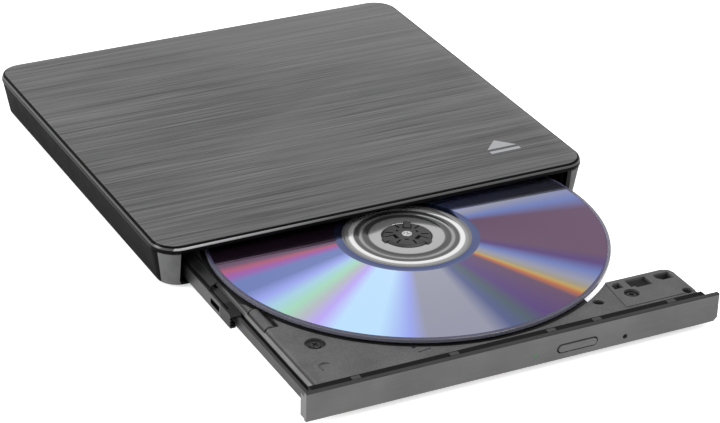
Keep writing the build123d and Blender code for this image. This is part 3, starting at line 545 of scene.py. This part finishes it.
discRings = {
    # radii in millimetres and the tone at each, painted reflection and shade of the clear plastic: the
    # clear hub zone, then thin lines along the outer edge
    "clear": [(7.0, (130,)), (8.0, (168,)), (11.0, (166,)), (11.5, (80,)), (13.0, (74,)), (13.5, (148,)),
              (14.0, (148,)), (14.5, (86,)), (15.5, (80,)), (16.0, (224,)), (17.0, (224,)), (17.5, (142,)),
              (18.0, (142,)), (18.5, (116,)), (19.0, (112,))],
    "clearSpan": (7.0, 20.0),
    "edge": [(58.8, (34, 32, 54)), (59.0, (92, 88, 120)), (59.2, (28, 26, 44)), (59.5, (84, 82, 106)),
             (59.7, (30, 30, 42)), (59.9, (96, 96, 108))],
    "edgeSpan": (58.0, 60.0),
    "mirrorBand": 19.2,
    "dataStart": 21.6,
    "dataEnd": 58.8,
    "rimStart": 59.0,
    "rimAlpha": 0.75,
    "bandColour": (76, 86, 128),
}


def fanAngle(degrees):
    # the angle as seen from the point that the colours fan out from
    turn = math.radians(degrees)
    across = discFan["radius"] * math.cos(turn) - discFan["shift"][0]
    upward = discFan["radius"] * math.sin(turn) - discFan["shift"][1]
    seen = math.degrees(math.atan2(upward, across))
    return seen + 360 * round((degrees - seen) / 360)


def stopsOf(pairs):
    low, high = fanAngle(pairs[0][0]), fanAngle(pairs[-1][0])
    return [((fanAngle(at) - low) / (high - low), shade(*hues[hue])) for at, hue in pairs], low, high


def ringRamp(value, pairs, low, high):
    stops = [((at - low) / (high - low), shade(*tone)) for at, tone in pairs]
    return value.node("ShaderNodeValToRGB", {"stops": stops}, {0: value.spread(low, high)})


def discFace(place):
    centre = (discLow + discHigh) / 2
    centred = place.node("ShaderNodeMapping", {"vector_type": "TEXTURE"},
                         {"Vector": place, "Location": (centre.x, centre.y, 0.0)})
    x, y = split(centred)[:2]
    radius = (x * x + y * y).apply("SQRT") / mm
    fanX, fanY = x - discFan["shift"][0], y - discFan["shift"][1]
    angle = fanY.apply("ARCTAN2", fanX) * math.degrees(1.0)
    # painted reflection: the hues by angle and the tones by radius are fixed on the disc
    firstStops, low, middle = stopsOf(discFan["first"])
    secondStops, middle, high = stopsOf(discFan["second"])
    spin = angle + (angle < low) * 360.0
    first = x.node("ShaderNodeValToRGB", {"stops": firstStops}, {0: spin.spread(low, middle)})
    second = x.node("ShaderNodeValToRGB", {"stops": secondStops}, {0: spin.spread(middle, high)})
    mirrored = radius > discRings["mirrorBand"]
    colour = ringRamp(radius, discRings["clear"], *discRings["clearSpan"])
    colour = mixColour(mirrored, colour, shade(*discRings["bandColour"]))
    colour = mixColour(radius > discRings["dataStart"], colour, mixColour(spin > middle, first, second))
    edge = ringRamp(radius, discRings["edge"], *discRings["edgeSpan"])
    colour = mixColour(radius > discRings["dataEnd"], colour, edge)
    mirror = radius.between(discRings["mirrorBand"], discRings["rimStart"])
    glassy = 1.0 - mirrored
    smear = grain(place, 20 * mm, 3.0)
    return {
        "Base Color": colour,
        "Metallic": mirror * 0.96 + glassy * 0.8,
        "Roughness": smear.spread(0.3, 0.7, 0.05, 0.09) + glassy * 0.06,
        "Alpha": 1.0 - (radius > discRings["rimStart"]) * (1.0 - discRings["rimAlpha"]),
    }


# the shell's front posts match the bezel, and the left rail ends in a black ribbed piece

shellTones = {
    "front": (shade(76), shade(94)),
    "wall": (shade(9), shade(15)),
    # each post's width and depth at the shell's front corners, and how its back edge slants
    "post": (7.25 * mm, 7.5 * mm),
    "slant": -0.53,
    "inner": 0.4 * mm,
}
railTones = {"steel": (shade(34), shade(58)), "black": (shade(3), shade(7)), "blackLength": 7.0 * mm}


def shellPlastic(place):
    x, y = split(place)[:2]
    shellLow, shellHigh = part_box("bottom_shell")
    width, depth = shellTones["post"]
    aside = x.apply("ABSOLUTE") - (shellHigh.x - width)
    front = ((y - (shellLow.y + depth)) < (aside * shellTones["slant"])) * (aside > shellTones["inner"])
    skin = grain(place, 0.35 * mm, 2.0)
    cloud = grain(place, 9 * mm, 3.0).spread(0.3, 0.7)
    wall = mixColour(cloud, *shellTones["wall"])
    return {
        "Base Color": mixColour(front, wall, mixColour(cloud, *shellTones["front"])),
        "Roughness": cloud * 0.1 + 0.45,
        "Normal": bump(skin, 0.01 * mm),
    }


def railSteel(place):
    black = split(place)[1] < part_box("left_rail_stop")[0].y + railTones["blackLength"]
    rolled = noise(place, (3000.0, 60.0, 3000.0), 3.0)
    tone = rolled.spread(0.3, 0.7) * 0.5 + grain(place, 12 * mm, 3.0).spread(0.35, 0.65) * 0.5
    steel = mixColour(tone, *railTones["steel"])
    return {
        "Base Color": mixColour(black, steel, mixColour(tone, *railTones["black"])),
        "Metallic": black * -0.9 + 0.9,
        "Roughness": tone * 0.14 + 0.3,
        "Normal": bump(rolled, 0.004 * mm),
    }


shellFinish = finish("shellPosts", {"Specular IOR Level": 0.008}, shellPlastic)
railFinish = finish("railAndStop", {"Specular IOR Level": 0.1}, railSteel)
frameFinish = finish("frameAndClips", {"Specular IOR Level": 0.03}, frameAndClips)
hubFinish = moulded("hubPlastic", shade(26), shade(50), 0.4, 0.3 * mm, 0.006 * mm, 0.4, 0.25)

discLow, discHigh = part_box("disc")
discFinish = finish("discFace", {"Specular IOR Level": 0.4}, discFace)
print("finishes made:", len(finishes) + 5)


# every CAD part takes its slot's finish, or its own

slotOf = {part["node"]: part["material_slot"] for part in frame["record"]["subparts"]}
ownFinishes = {
    "bottom_shell": shellFinish, "bezel_frame": frameFinish, "disc": discFinish,
    "left_rail": railFinish, "left_rail_stop": railFinish,
    "hub_cap": hubFinish, "hub_claw_1": hubFinish, "hub_claw_2": hubFinish, "hub_claw_3": hubFinish,
}
finishOf = {name: ownFinishes.get(name) or finishes[slotOf[name]] for name in nodes}
for name, part in nodes.items():
    part.data.materials.clear()
    part.data.materials.append(finishOf[name])


# mesh and growth-tree helpers

bodyOf = {name: body for body, empty in frame["bodies"].items() for name, part in nodes.items()
          if part.parent == empty}


def tidied(mesh, sharpAngle=35.0, double=0.002 * mm):
    # doubles merged, faces turned outwards, smooth except at sharp edges
    work = bmesh.new()
    work.from_mesh(mesh)
    bmesh.ops.remove_doubles(work, verts=work.verts, dist=double)
    bmesh.ops.recalc_face_normals(work, faces=work.faces)
    work.to_mesh(mesh)
    work.free()
    mesh.shade_smooth()
    mesh.set_sharp_from_angle(angle=math.radians(sharpAngle))
    return mesh


def settle(piece, dress, body, *stands):
    piece.data.materials.clear()
    piece.data.materials.append(dress)
    if stands:
        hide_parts(*stands)
    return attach(piece, body)


def evaluated(carrier):
    # its modifiers' result becomes its mesh
    graph = bpy.context.evaluated_depsgraph_get()
    solved = carrier.evaluated_get(graph)
    mesh = bpy.data.meshes.new_from_object(solved, preserve_all_data_layers=True, depsgraph=graph)
    carrier.modifiers.clear()
    carrier.data = mesh
    return carrier


def openTree(name, inputs):
    tree = bpy.data.node_groups.new(name, "GeometryNodeTree")
    tree.interface.new_socket("Geometry", in_out="INPUT", socket_type="NodeSocketGeometry")
    for label, kind in inputs.items():
        tree.interface.new_socket(label, in_out="INPUT", socket_type="NodeSocket" + kind)
    tree.interface.new_socket("Geometry", in_out="OUTPUT", socket_type="NodeSocketGeometry")
    return Wire(tree, tree.nodes.new("NodeGroupInput").outputs[0])


def closeTree(start, shape):
    real = start.node("GeometryNodeRealizeInstances", {}, {0: shape})
    dressed = start.node("GeometryNodeSetMaterial", {}, {0: real, "Material": start.out("Finish")})
    end = start.tree.nodes.new("NodeGroupOutput")
    start.tree.links.new(dressed.socket, end.inputs[0])
    return start.tree


def grow(name, mesh, tree, values):
    carrier = addObject(name, mesh)
    modifier = carrier.modifiers.new("grow", "NODES")
    modifier.node_group = tree
    for item in tree.interface.items_tree:
        if item.in_out == "INPUT" and item.name in values:
            modifier[item.identifier] = values[item.name]
    return evaluated(carrier)


def pointMesh(name, places, turns=None):
    mesh = bpy.data.meshes.new(name)
    mesh.from_pydata([tuple(place) for place in places], [], [])
    if turns:
        store = mesh.attributes.new("turn", "FLOAT_VECTOR", "POINT")
        store.data.foreach_set("vector", [part for turn in turns for part in turn])
    return mesh


def makeTurnedTree():
    # sweeps a profile of (radius, 0, height) points round Z
    start = openTree("turnedShape", {"Steps": "Int", "Finish": "Material"})
    count = start.node("GeometryNodeAttributeDomainSize", {}, {0: start})
    steps = start.out("Steps")
    grid = start.node("GeometryNodeMeshGrid", {}, {"Vertices X": count, "Vertices Y": steps})
    index = start.node("GeometryNodeInputIndex")
    ring = ((index + 0.5) / steps).apply("FLOOR")
    angle = (index - ring * steps) / (steps - 1.0) * (2 * math.pi)
    place = start.node("GeometryNodeInputPosition")
    profile = start.node("GeometryNodeSampleIndex", {"data_type": "FLOAT_VECTOR"},
                         {"Geometry": start, "Value": place, "Index": ring})
    radius, side, height = split(profile)
    swept = start.node("ShaderNodeCombineXYZ", {}, {
        0: radius * angle.apply("COSINE"), 1: radius * angle.apply("SINE"), 2: height})
    shaped = start.node("GeometryNodeSetPosition", {}, {"Geometry": grid, "Position": swept})
    merged = start.node("GeometryNodeMergeByDistance", {}, {"Geometry": shaped, "Distance": 0.001 * mm})
    return closeTree(start, merged)


def makeRepeatTree():
    # one part on every point, turned as the point says
    start = openTree("repeatedPart", {"Part": "Object", "Finish": "Material"})
    part = start.node("GeometryNodeObjectInfo", {}, {"Object": start.out("Part")}).out("Geometry")
    turn = start.node("GeometryNodeInputNamedAttribute", {"data_type": "FLOAT_VECTOR"}, {"Name": "turn"})
    placed = start.node("GeometryNodeInstanceOnPoints", {},
                        {"Points": start, "Instance": part, "Rotation": turn})
    return closeTree(start, placed)


def makeThreadTree():
    # a ridge that follows a helix up Z
    start = openTree("threadRidge", {"Turns": "Float", "Radius": "Float", "Length": "Float",
                                     "Ridge": "Float", "Finish": "Material"})
    helix = start.node("GeometryNodeCurveSpiral", {}, {
        "Resolution": 20, "Rotations": start.out("Turns"), "Start Radius": start.out("Radius"),
        "End Radius": start.out("Radius"), "Height": start.out("Length")})
    ridge = start.node("GeometryNodeCurvePrimitiveCircle", {},
                       {"Resolution": 4, "Radius": start.out("Ridge")})
    swept = start.node("GeometryNodeCurveToMesh", {},
                       {"Curve": helix, "Profile Curve": ridge, "Fill Caps": True})
    return closeTree(start, swept)


turnedTree, repeatTree, threadTree = makeTurnedTree(), makeRepeatTree(), makeThreadTree()


def turned(name, profile, dress, steps=97):
    # turns a profile of (radius, height) in mm, closed when its last point is its first
    mesh = pointMesh(name, [(radius * mm, 0, height * mm) for radius, height in profile])
    piece = grow(name, mesh, turnedTree, {"Steps": steps, "Finish": dress})
    tidied(piece.data)
    return piece


def repeated(name, part, places, turns, dress):
    # the part itself is used up
    piece = grow(name, pointMesh(name, places, turns), repeatTree, {"Part": part, "Finish": dress})
    bpy.data.objects.remove(part)
    tidied(piece.data, double=0.0005 * mm)
    return piece


def moved(piece, matrix):
    piece.data.transform(matrix)
    return piece


def islands(node):
    # boxes of a CAD node's loose parts, as (low, high)
    work = bmesh.new()
    work.from_mesh(nodes[node].data)
    bmesh.ops.remove_doubles(work, verts=work.verts, dist=0.001 * mm)
    left, found = set(work.verts), []
    while left:
        queue = [left.pop()]
        group = []
        while queue:
            vertex = queue.pop()
            group.append(vertex.co.copy())
            for edge in vertex.link_edges:
                other = edge.other_vert(vertex)
                if other in left:
                    left.remove(other)
                    queue.append(other)
        found.append((Vector([min(p[i] for p in group) for i in range(3)]),
                      Vector([max(p[i] for p in group) for i in range(3)])))
    work.free()
    return sorted(found, key=lambda pair: (round(pair[0].x, 5), round(pair[0].y, 5)))


# the lid: a plate with a rolled edge and a fine line round its film

lidShape = {
    # millimetres; each ring is an inset from the outline and a height, from the underside over the edge
    "corner": 8.0,
    "arcSteps": 12,
    "rings": [(1.6, 12.5), (1.6, 12.0), (0, 12.0), (0, 12.25), (0.06, 12.6), (0.2, 13.1), (0.42, 13.55),
              (0.62, 13.8), (0.80, 13.86), (0.85, 13.79), (0.95, 13.81), (1.05, 13.97), (1.15, 14.0)],
    # stiffening ribs under the plate: where across, half width, half length, bottom and top
    "ribs": [-24.0, 0.0, 24.0],
    "ribSize": (0.5, 50, 12, 12.6),
    "sharp": 28.0,
}


def roundedLoop(halfWidth, halfDepth, corner, height, steps):
    points = []
    for quarter, (signX, signY) in enumerate([(1, 1), (-1, 1), (-1, -1), (1, -1)]):
        for step in range(steps + 1):
            turn = math.radians(90 * (quarter + step / steps))
            points.append(Vector((signX * (halfWidth - corner) + corner * math.cos(turn),
                                  signY * (halfDepth - corner) + corner * math.sin(turn), height)))
    return points


def skinned(name, loops):
    # joins rings of equal count with quads and closes both ends
    mesh = bpy.data.meshes.new(name)
    count = len(loops[0])
    points = [tuple(point) for loop in loops for point in loop]
    faces = []
    for near in range(0, len(points) - count, count):
        far = near + count
        for step in range(count):
            after = (step + 1) % count
            faces.append((near + step, near + after, far + after, far + step))
    faces.append(tuple(reversed(range(count))))
    faces.append(tuple(range(len(points) - count, len(points))))
    mesh.from_pydata(points, [], faces)
    return mesh


def joined(name, meshes):
    work = bmesh.new()
    for mesh in meshes:
        work.from_mesh(mesh)
    whole = bpy.data.meshes.new(name)
    work.to_mesh(whole)
    work.free()
    return whole


def blockMesh(low, high):
    corners = [(low[0], low[1]), (high[0], low[1]), (high[0], high[1]), (low[0], high[1])]
    return skinned("block", [[(x, y, low[2]) for x, y in corners], [(x, y, high[2]) for x, y in corners]])


lidLoops = []
for inset, height in lidShape["rings"]:
    lidLoops.append(roundedLoop(lidHigh.x - inset * mm, lidHigh.y - inset * mm,
                                (lidShape["corner"] - inset) * mm, height * mm, lidShape["arcSteps"]))
lidParts = [skinned("lidPlate", lidLoops)]
ribHalfWidth, ribHalfLength, ribLow, ribHigh = lidShape["ribSize"]
for ribX in lidShape["ribs"]:
    lidParts.append(blockMesh(((ribX - ribHalfWidth) * mm, -ribHalfLength * mm, ribLow * mm),
                              ((ribX + ribHalfWidth) * mm, ribHalfLength * mm, ribHigh * mm)))
lid = addObject("lid", tidied(joined("lid", lidParts), lidShape["sharp"]))
settle(lid, finishes["brushed_top"], bodyOf["top_cover"], "top_cover")
lid.data.materials.append(finish("rolledEdge", {"Specular IOR Level": 0.04}, rolledEdge))
for face in lid.data.polygons:
    # the film covers the flat top only
    face.material_index = 0 if face.center.z > cadHigh.z - 0.005 * mm else 1
print("lid made")


# the disc: one turned shape with its moulded rings

discShape = {
    "thick": 1.2,
    "steps": 257,
    # radius and height in millimetres: the stacking ring below, the rim, then the rings and grooves on top
    "profile": [(7.5, 0.12), (7.62, 0.0), (16.6, 0.0), (16.8, -0.25), (17.6, -0.25), (17.8, 0.0),
                (59.85, 0.0), (60.0, 0.15), (60.0, 1.05), (59.85, 1.2), (21.7, 1.2), (21.55, 1.16),
                (19.3, 1.16), (19.15, 1.2), (18.7, 1.2), (18.55, 1.13), (17.3, 1.13), (17.1, 1.2),
                (15.8, 1.2), (15.6, 1.11), (14.25, 1.11), (14.1, 1.2), (13.6, 1.2), (13.4, 1.11),
                (11.6, 1.11), (11.4, 1.2), (7.62, 1.2), (7.5, 1.08), (7.5, 0.12)],
}
discCentre = (discLow + discHigh) / 2
discSeat = Vector((discCentre.x, discCentre.y, discHigh.z - discShape["thick"] * mm))
disc = turned("discTurned", discShape["profile"], discFinish, discShape["steps"])
moved(disc, Matrix.Translation(discSeat))
settle(disc, discFinish, bodyOf["disc"], "disc")
print("disc made")


# screws with a cross recess, and rubber feet with rings

screwShape = {
    # shares of the head's radius and height, from its foot up to the recess's mouth
    "side": [(0.97, 0), (1, 0.12), (1, 0.55), (0.93, 0.8), (0.78, 0.95), (0.66, 1)],
    # how the cross shrinks towards its floor, and at which share of the height
    "recess": [(1.0, 1), (0.8, 0.35), (0.3, 0.22)],
    "arm": 0.56,
    "slot": 0.15,
    "shank": 0.45,
    "sunk": 0.02,
    # each screw stopped at another turn, in radians
    "firstTurn": 0.6,
    "nextTurn": 1.9,
}


def crossRadius(turn, arm, width):
    # outline of a plus sign, by direction
    fold = (turn + math.pi / 4) % (math.pi / 2) - math.pi / 4
    if abs(math.tan(fold)) < width / arm:
        return arm / math.cos(fold)
    return width / abs(math.sin(fold))


def screwHead(name, radius, height, steps=64):
    # head from z 0 to its height, with a tapering cross recess
    turns = [2 * math.pi * (step + 0.5) / steps for step in range(steps)]
    loops = [[(radius * share * math.cos(a), radius * share * math.sin(a), height * level) for a in turns]
             for share, level in screwShape["side"]]
    for shrink, level in screwShape["recess"]:
        arm, slot = radius * screwShape["arm"], radius * screwShape["slot"]
        sizes = [(a, shrink * crossRadius(a, arm, slot)) for a in turns]
        loops.append([(size * math.cos(a), size * math.sin(a), height * level) for a, size in sizes])
    return addObject(name, tidied(skinned(name, loops), 40.0))


def shankMesh(radius, low, high, steps=24):
    turns = [2 * math.pi * step / steps for step in range(steps)]
    return skinned("shank", [[(radius * math.cos(a), radius * math.sin(a), level) for a in turns]
                             for level in (low, high)])


def screwHalves(low, high, height, down):
    # where the head's foot stands, and where the shank starts and ends
    overlap = height - screwShape["sunk"] * mm
    if down:
        return low.z + height, (low.z + overlap, high.z)
    return high.z - height, (low.z, high.z - overlap)


screwSets = {
    # node: head radius and height in mm, and whether the heads look down
    "base_screws": (1.5, 0.85, True),
    "board_screws": (1.5, 0.6, False),
    "chassis_screws": (1.4, 0.5, False),
    "tray_screws": (1.7, 0.6, False),
}
for node, (radius, height, down) in screwSets.items():
    spots, turns, shanks = [], [], []
    for number, (low, high) in enumerate(islands(node)):
        centre = (low + high) / 2
        foot, stem = screwHalves(low, high, height * mm, down)
        spots.append((centre.x, centre.y, foot))
        turn = screwShape["firstTurn"] + screwShape["nextTurn"] * number
        turns.append((math.pi if down else 0.0, 0.0, turn))
        if stem[1] - stem[0] > 0.2 * mm:
            shank = shankMesh(radius * screwShape["shank"] * mm, *stem)
            shank.transform(Matrix.Translation((centre.x, centre.y, 0)))
            shanks.append(shank)
    head = screwHead(node + "Head", radius * mm, height * mm)
    heads = repeated(node + "Fine", head, spots, turns, finishOf[node])
    heads.data = tidied(joined(node + "Fine", [heads.data] + shanks), 40.0, 0.0005 * mm)
    settle(heads, finishOf[node], bodyOf[node], node)

# radius and height: two rings stand on the table, and the pad reaches up into the shell
footProfile = [(0, 0.25), (1.6, 0.25), (1.8, 0.0), (2.3, 0.0), (2.5, 0.25), (3.0, 0.25), (3.2, 0.0),
               (4.1, 0.0), (4.34, 0.12), (4.4, 0.35), (4.4, 1.35), (0, 1.35)]
foot = turned("footPart", footProfile, finishes["rubber"], 65)
footSpots = [((low.x + high.x) / 2, (low.y + high.y) / 2, 0.0) for low, high in islands("rubber_feet")]
feet = repeated("feet", foot, footSpots, [(0, 0, 0)] * len(footSpots), finishes["rubber"])
settle(feet, finishes["rubber"], bodyOf["rubber_feet"], "rubber_feet")
print("screws and feet made")


# lead screw: a plain core with a ridge wound along it, laid in the sled's direction

leadShape = {
    # millimetres; lead and tail are the plain journals' lengths at the motor's end and the far end
    "core": 0.72,
    "journal": 0.5,
    "lead": 4.9,
    "tail": 0.95,
    "tailRadius": 0.4,
    "taper": 0.1,
    "pitch": 3.0,
    "ridge": 0.16,
    "threadGap": 0.4,
}
leadLow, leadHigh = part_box("lead_screw")
leadMiddle, leadWay = (leadLow + leadHigh) / 2, Vector((-1, -1, 0)).normalized()
# the box of a rod that lies aslant is longer than the rod by part of its thickness
leadLong = math.hypot(leadHigh.x - leadLow.x, leadHigh.y - leadLow.y) - (leadHigh.z - leadLow.z) * 0.8
journal, coreRadius, tailRadius = leadShape["journal"], leadShape["core"], leadShape["tailRadius"]
coreStart, coreEnd, leadEnd = leadShape["lead"], leadLong / mm - leadShape["tail"], leadLong / mm
leadProfile = [(0, 0), (journal, 0), (journal, coreStart), (coreRadius, coreStart + leadShape["taper"]),
               (coreRadius, coreEnd - leadShape["taper"]), (tailRadius, coreEnd), (tailRadius, leadEnd),
               (0, leadEnd)]
core = turned("leadCore", leadProfile, finishes["rod_steel"], 33)
threadLong = (coreEnd - coreStart - 2 * leadShape["threadGap"]) * mm
ridge = grow("leadRidge", pointMesh("ridge", [(0, 0, 0)]), threadTree, {
    "Turns": threadLong / (leadShape["pitch"] * mm), "Radius": coreRadius * mm, "Length": threadLong,
    "Ridge": leadShape["ridge"] * mm, "Finish": finishes["rod_steel"]})
moved(ridge, Matrix.Translation((0, 0, (coreStart + leadShape["threadGap"]) * mm)))
lead = addObject("leadScrew", tidied(joined("leadScrew", [core.data, ridge.data]), 50.0))
bpy.data.objects.remove(core)
bpy.data.objects.remove(ridge)
leadTurn = Vector((0, 0, 1)).rotation_difference(leadWay).to_matrix().to_4x4()
moved(lead, Matrix.Translation(leadMiddle - leadWay * leadLong / 2) @ leadTurn)
settle(lead, finishes["rod_steel"], bodyOf["lead_screw"], "lead_screw")


# stator coils: wire wound round nine arms, one tree for a coil and one to repeat it

def makeWindingTree():
    # a rounded rectangular helix along X
    start = openTree("woundCoil", {"Turns": "Int", "Length": "Float", "Width": "Float", "Height": "Float",
                                   "Wire": "Float", "Flatness": "Float", "Finish": "Material"})
    helix = start.node("GeometryNodeCurveSpiral", {}, {
        "Resolution": 24, "Rotations": start.out("Turns"), "Start Radius": 1.0, "End Radius": 1.0,
        "Height": start.out("Length")})
    x, y, z = split(start.node("GeometryNodeInputPosition"))
    # flatten the circle to a rounded rectangle
    sides = []
    for part, size in ((x, start.out("Width")), (y, start.out("Height"))):
        clipped = (part * start.out("Flatness")).apply("MINIMUM", 1.0).apply("MAXIMUM", -1.0)
        sides.append(clipped * size)
    laid = start.node("ShaderNodeCombineXYZ", {}, {0: z, 1: sides[0], 2: sides[1]})
    shaped = start.node("GeometryNodeSetPosition", {}, {"Geometry": helix, "Position": laid})
    wire = start.node("GeometryNodeCurvePrimitiveCircle", {},
                      {"Resolution": 6, "Radius": start.out("Wire")})
    swept = start.node("GeometryNodeCurveToMesh", {},
                       {"Curve": shaped, "Profile Curve": wire, "Fill Caps": True})
    return closeTree(start, swept)


coilShape = {
    # half width, half height and the wire's radius; inner and outer are radii round the spindle, all in mm
    "arms": 9,
    "turns": 14,
    "inner": 4.75,
    "outer": 8.65,
    "width": 1.15,
    "height": 0.8,
    "wire": 0.13,
    "flatness": 1.35,
}
coil = grow("coilPart", pointMesh("coilSeed", [(0, 0, 0)]), makeWindingTree(), {
    "Turns": coilShape["turns"], "Length": (coilShape["outer"] - coilShape["inner"]) * mm,
    "Width": coilShape["width"] * mm, "Height": coilShape["height"] * mm, "Wire": coilShape["wire"] * mm,
    "Flatness": coilShape["flatness"], "Finish": finishes["copper"]})
moved(coil, Matrix.Translation((coilShape["inner"] * mm, 0, 0)))
coilLow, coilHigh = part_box("stator_coils")
hubSpot = Vector((discCentre.x, discCentre.y, (coilLow.z + coilHigh.z) / 2))
coilTurns = [(0, 0, 2 * math.pi * arm / coilShape["arms"]) for arm in range(coilShape["arms"])]
coils = repeated("coils", coil, [hubSpot] * coilShape["arms"], coilTurns, finishes["copper"])
settle(coils, finishes["copper"], bodyOf["stator_coils"], "stator_coils")


# legs round the board's chips, and contacts in the socket

legShape = {
    # millimetres; margin is left free at a side's ends, and each leg starts a tuck inside its chip
    "pitch": 0.8,
    "wide": 0.3,
    "reach": 0.75,
    "thick": 0.12,
    "rise": 0.4,
    "margin": 1.0,
    "tuck": 0.02,
}
contactShape = {
    # opposite corners of one contact, and how far its middle lies in from the tongue's outer end, in mm
    "count": 5,
    "pitch": 0.8,
    "low": (-0.18, -2.9, -0.04),
    "high": (0.18, 2.9, 0.05),
    "inset": 3.4,
}


def legMesh(wide, reach, thick, rise):
    # a bent leg that comes out along +X at a height and stands on z 0
    line = [(0, rise), (0.35 * reach, rise), (0.62 * reach, thick), (reach, thick)]
    points, faces = [], []
    for x, z in line:
        points += [(x, -wide / 2, z), (x, wide / 2, z), (x, wide / 2, z - thick), (x, -wide / 2, z - thick)]
    for step in range(len(line) - 1):
        a, b = step * 4, step * 4 + 4
        faces += [(a + k, a + (k + 1) % 4, b + (k + 1) % 4, b + k) for k in range(4)]
    faces += [(3, 2, 1, 0), tuple(range(len(points) - 4, len(points)))]
    mesh = bpy.data.meshes.new("leg")
    mesh.from_pydata(points, [], faces)
    return mesh


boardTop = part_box("main_board")[1].z
spots, turns = [], []
for low, high in islands("board_chips"):
    chipMiddle = (low + high) / 2
    for side in range(4):
        along, outward = high.y - low.y, high.x - low.x
        if side % 2:
            along, outward = outward, along
        count = int((along - legShape["margin"] * mm) / (legShape["pitch"] * mm))
        turn = side * math.pi / 2
        for number in range(count):
            across = (number - (count - 1) / 2) * legShape["pitch"] * mm
            spot = Vector((outward / 2 - legShape["tuck"] * mm, across, 0))
            spot.rotate(Matrix.Rotation(turn, 3, "Z"))
            spots.append((chipMiddle.x + spot.x, chipMiddle.y + spot.y, boardTop))
            turns.append((0, 0, turn))
leg = addObject("legPart", legMesh(*[legShape[size] * mm for size in ("wide", "reach", "thick", "rise")]))
legs = repeated("chipLegs", leg, spots, turns, finishes["socket_metal"])
settle(legs, finishes["socket_metal"], bodyOf["board_chips"])

tongueLow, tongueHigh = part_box("usb_socket_tongue")
contact = addObject("contactPart", blockMesh([size * mm for size in contactShape["low"]],
                                             [size * mm for size in contactShape["high"]]))
contactSpots = []
for number in range(contactShape["count"]):
    across = (number - (contactShape["count"] - 1) / 2) * contactShape["pitch"] * mm
    contactSpots.append(((tongueLow.x + tongueHigh.x) / 2 + across,
                         tongueHigh.y - contactShape["inset"] * mm, tongueLow.z))
contacts = repeated("socketContacts", contact, contactSpots, [(0, 0, 0)] * len(contactSpots),
                    finishes["copper"])
settle(contacts, finishes["copper"], bodyOf["usb_socket_tongue"])
print("thread, coils, legs and contacts made")


# finer copies of CAD parts: small rounded edges

fineEdges = {
    # node: bevel width in mm
    "bottom_shell": 0.14, "tray": 0.09, "bezel": 0.05, "bezel_frame": 0.08, "left_rail": 0.06,
    "left_rail_stop": 0.12, "right_rail": 0.06, "hub_cap": 0.08, "turntable": 0.1, "hub_claw_1": 0.16,
    "hub_claw_2": 0.16, "hub_claw_3": 0.16, "engine_frame": 0.12, "engine_cover": 0.04, "sled": 0.12,
    "lens_holder": 0.1, "usb_socket": 0.04, "usb_socket_tongue": 0.08, "chassis_cover": 0.06,
    "chassis_walls": 0.06, "board_chips": 0.05, "board_connectors": 0.06, "eject_switch": 0.06,
    "latch_solenoid": 0.08, "tray_latch": 0.08, "rotor": 0.1, "spindle_shaft": 0.06,
    "damping_strips": 0.15, "main_board": 0.05, "tray_board": 0.05, "release_slider": 0.06,
}


def refined(node, width):
    # flat faces are joined again first, so that only real edges are rounded
    mesh = nodes[node].data.copy()
    if mesh.attributes.get("custom_normal"):
        mesh.attributes.remove(mesh.attributes["custom_normal"])
    work = bmesh.new()
    work.from_mesh(mesh)
    bmesh.ops.remove_doubles(work, verts=work.verts, dist=0.0005 * mm)
    bmesh.ops.dissolve_limit(work, angle_limit=math.radians(0.4), verts=work.verts, edges=work.edges)
    work.to_mesh(mesh)
    work.free()
    piece = addObject(node + "Fine", mesh)
    bevel = piece.modifiers.new("edges", "BEVEL")
    bevel.width = width * mm
    bevel.segments = 2
    bevel.limit_method = "ANGLE"
    bevel.angle_limit = math.radians(40)
    mesh.shade_smooth()
    weighted = piece.modifiers.new("normals", "WEIGHTED_NORMAL")
    weighted.mode = "FACE_AREA_WITH_ANGLE"
    weighted.weight = 100
    weighted.thresh = 0.001
    evaluated(piece)
    return settle(piece, finishOf[node], bodyOf[node], node)


for node, width in fineEdges.items():
    refined(node, width)
print("edges refined:", len(fineEdges))


# floor: pale, and open from below so that the underside can be seen

def floorFinish():
    material = bpy.data.materials.new("paleFloor")
    material.use_nodes = True
    tree = material.node_tree
    tree.nodes.clear()
    base = Wire(tree)
    cloud = grain(base.node("ShaderNodeTexCoord", output="Object"), 0.4, 2.0)
    level = studio["floorShade"]
    pale = base.node("ShaderNodeBsdfPrincipled", {}, {
        "Base Color": mixColour(cloud, (level - 0.01,) * 3, (level + 0.01,) * 3),
        "Roughness": 0.6, "Specular IOR Level": 0.2,
        "Emission Color": full((1.0,) * 3), "Emission Strength": studio["floorGlow"]})
    side = base.node("ShaderNodeNewGeometry", output="Backfacing")
    clear = base.node("ShaderNodeBsdfTransparent")
    mixed = base.node("ShaderNodeMixShader", {}, {0: side, 1: pale, 2: clear})
    end = tree.nodes.new("ShaderNodeOutputMaterial")
    tree.links.new(mixed.socket, end.inputs["Surface"])
    return material


half = studio["floorSize"] / 2
floorMesh = bpy.data.meshes.new("floor")
floorCorners = [(-half, -half, 0), (half, -half, 0), (half, half, 0), (-half, half, 0)]
floorMesh.from_pydata(floorCorners, [], [(0, 1, 2, 3)])
floorMesh.materials.append(floorFinish())
floor = addObject("floor", floorMesh)

world = bpy.data.worlds.new("studioSky")
world.use_nodes = True
sky = world.node_tree.nodes["Background"]
sky.inputs["Color"].default_value = full((studio["skyShade"],) * 3)
sky.inputs["Strength"].default_value = studio["skyStrength"]
bpy.context.scene.world = world
print("floor and sky set")
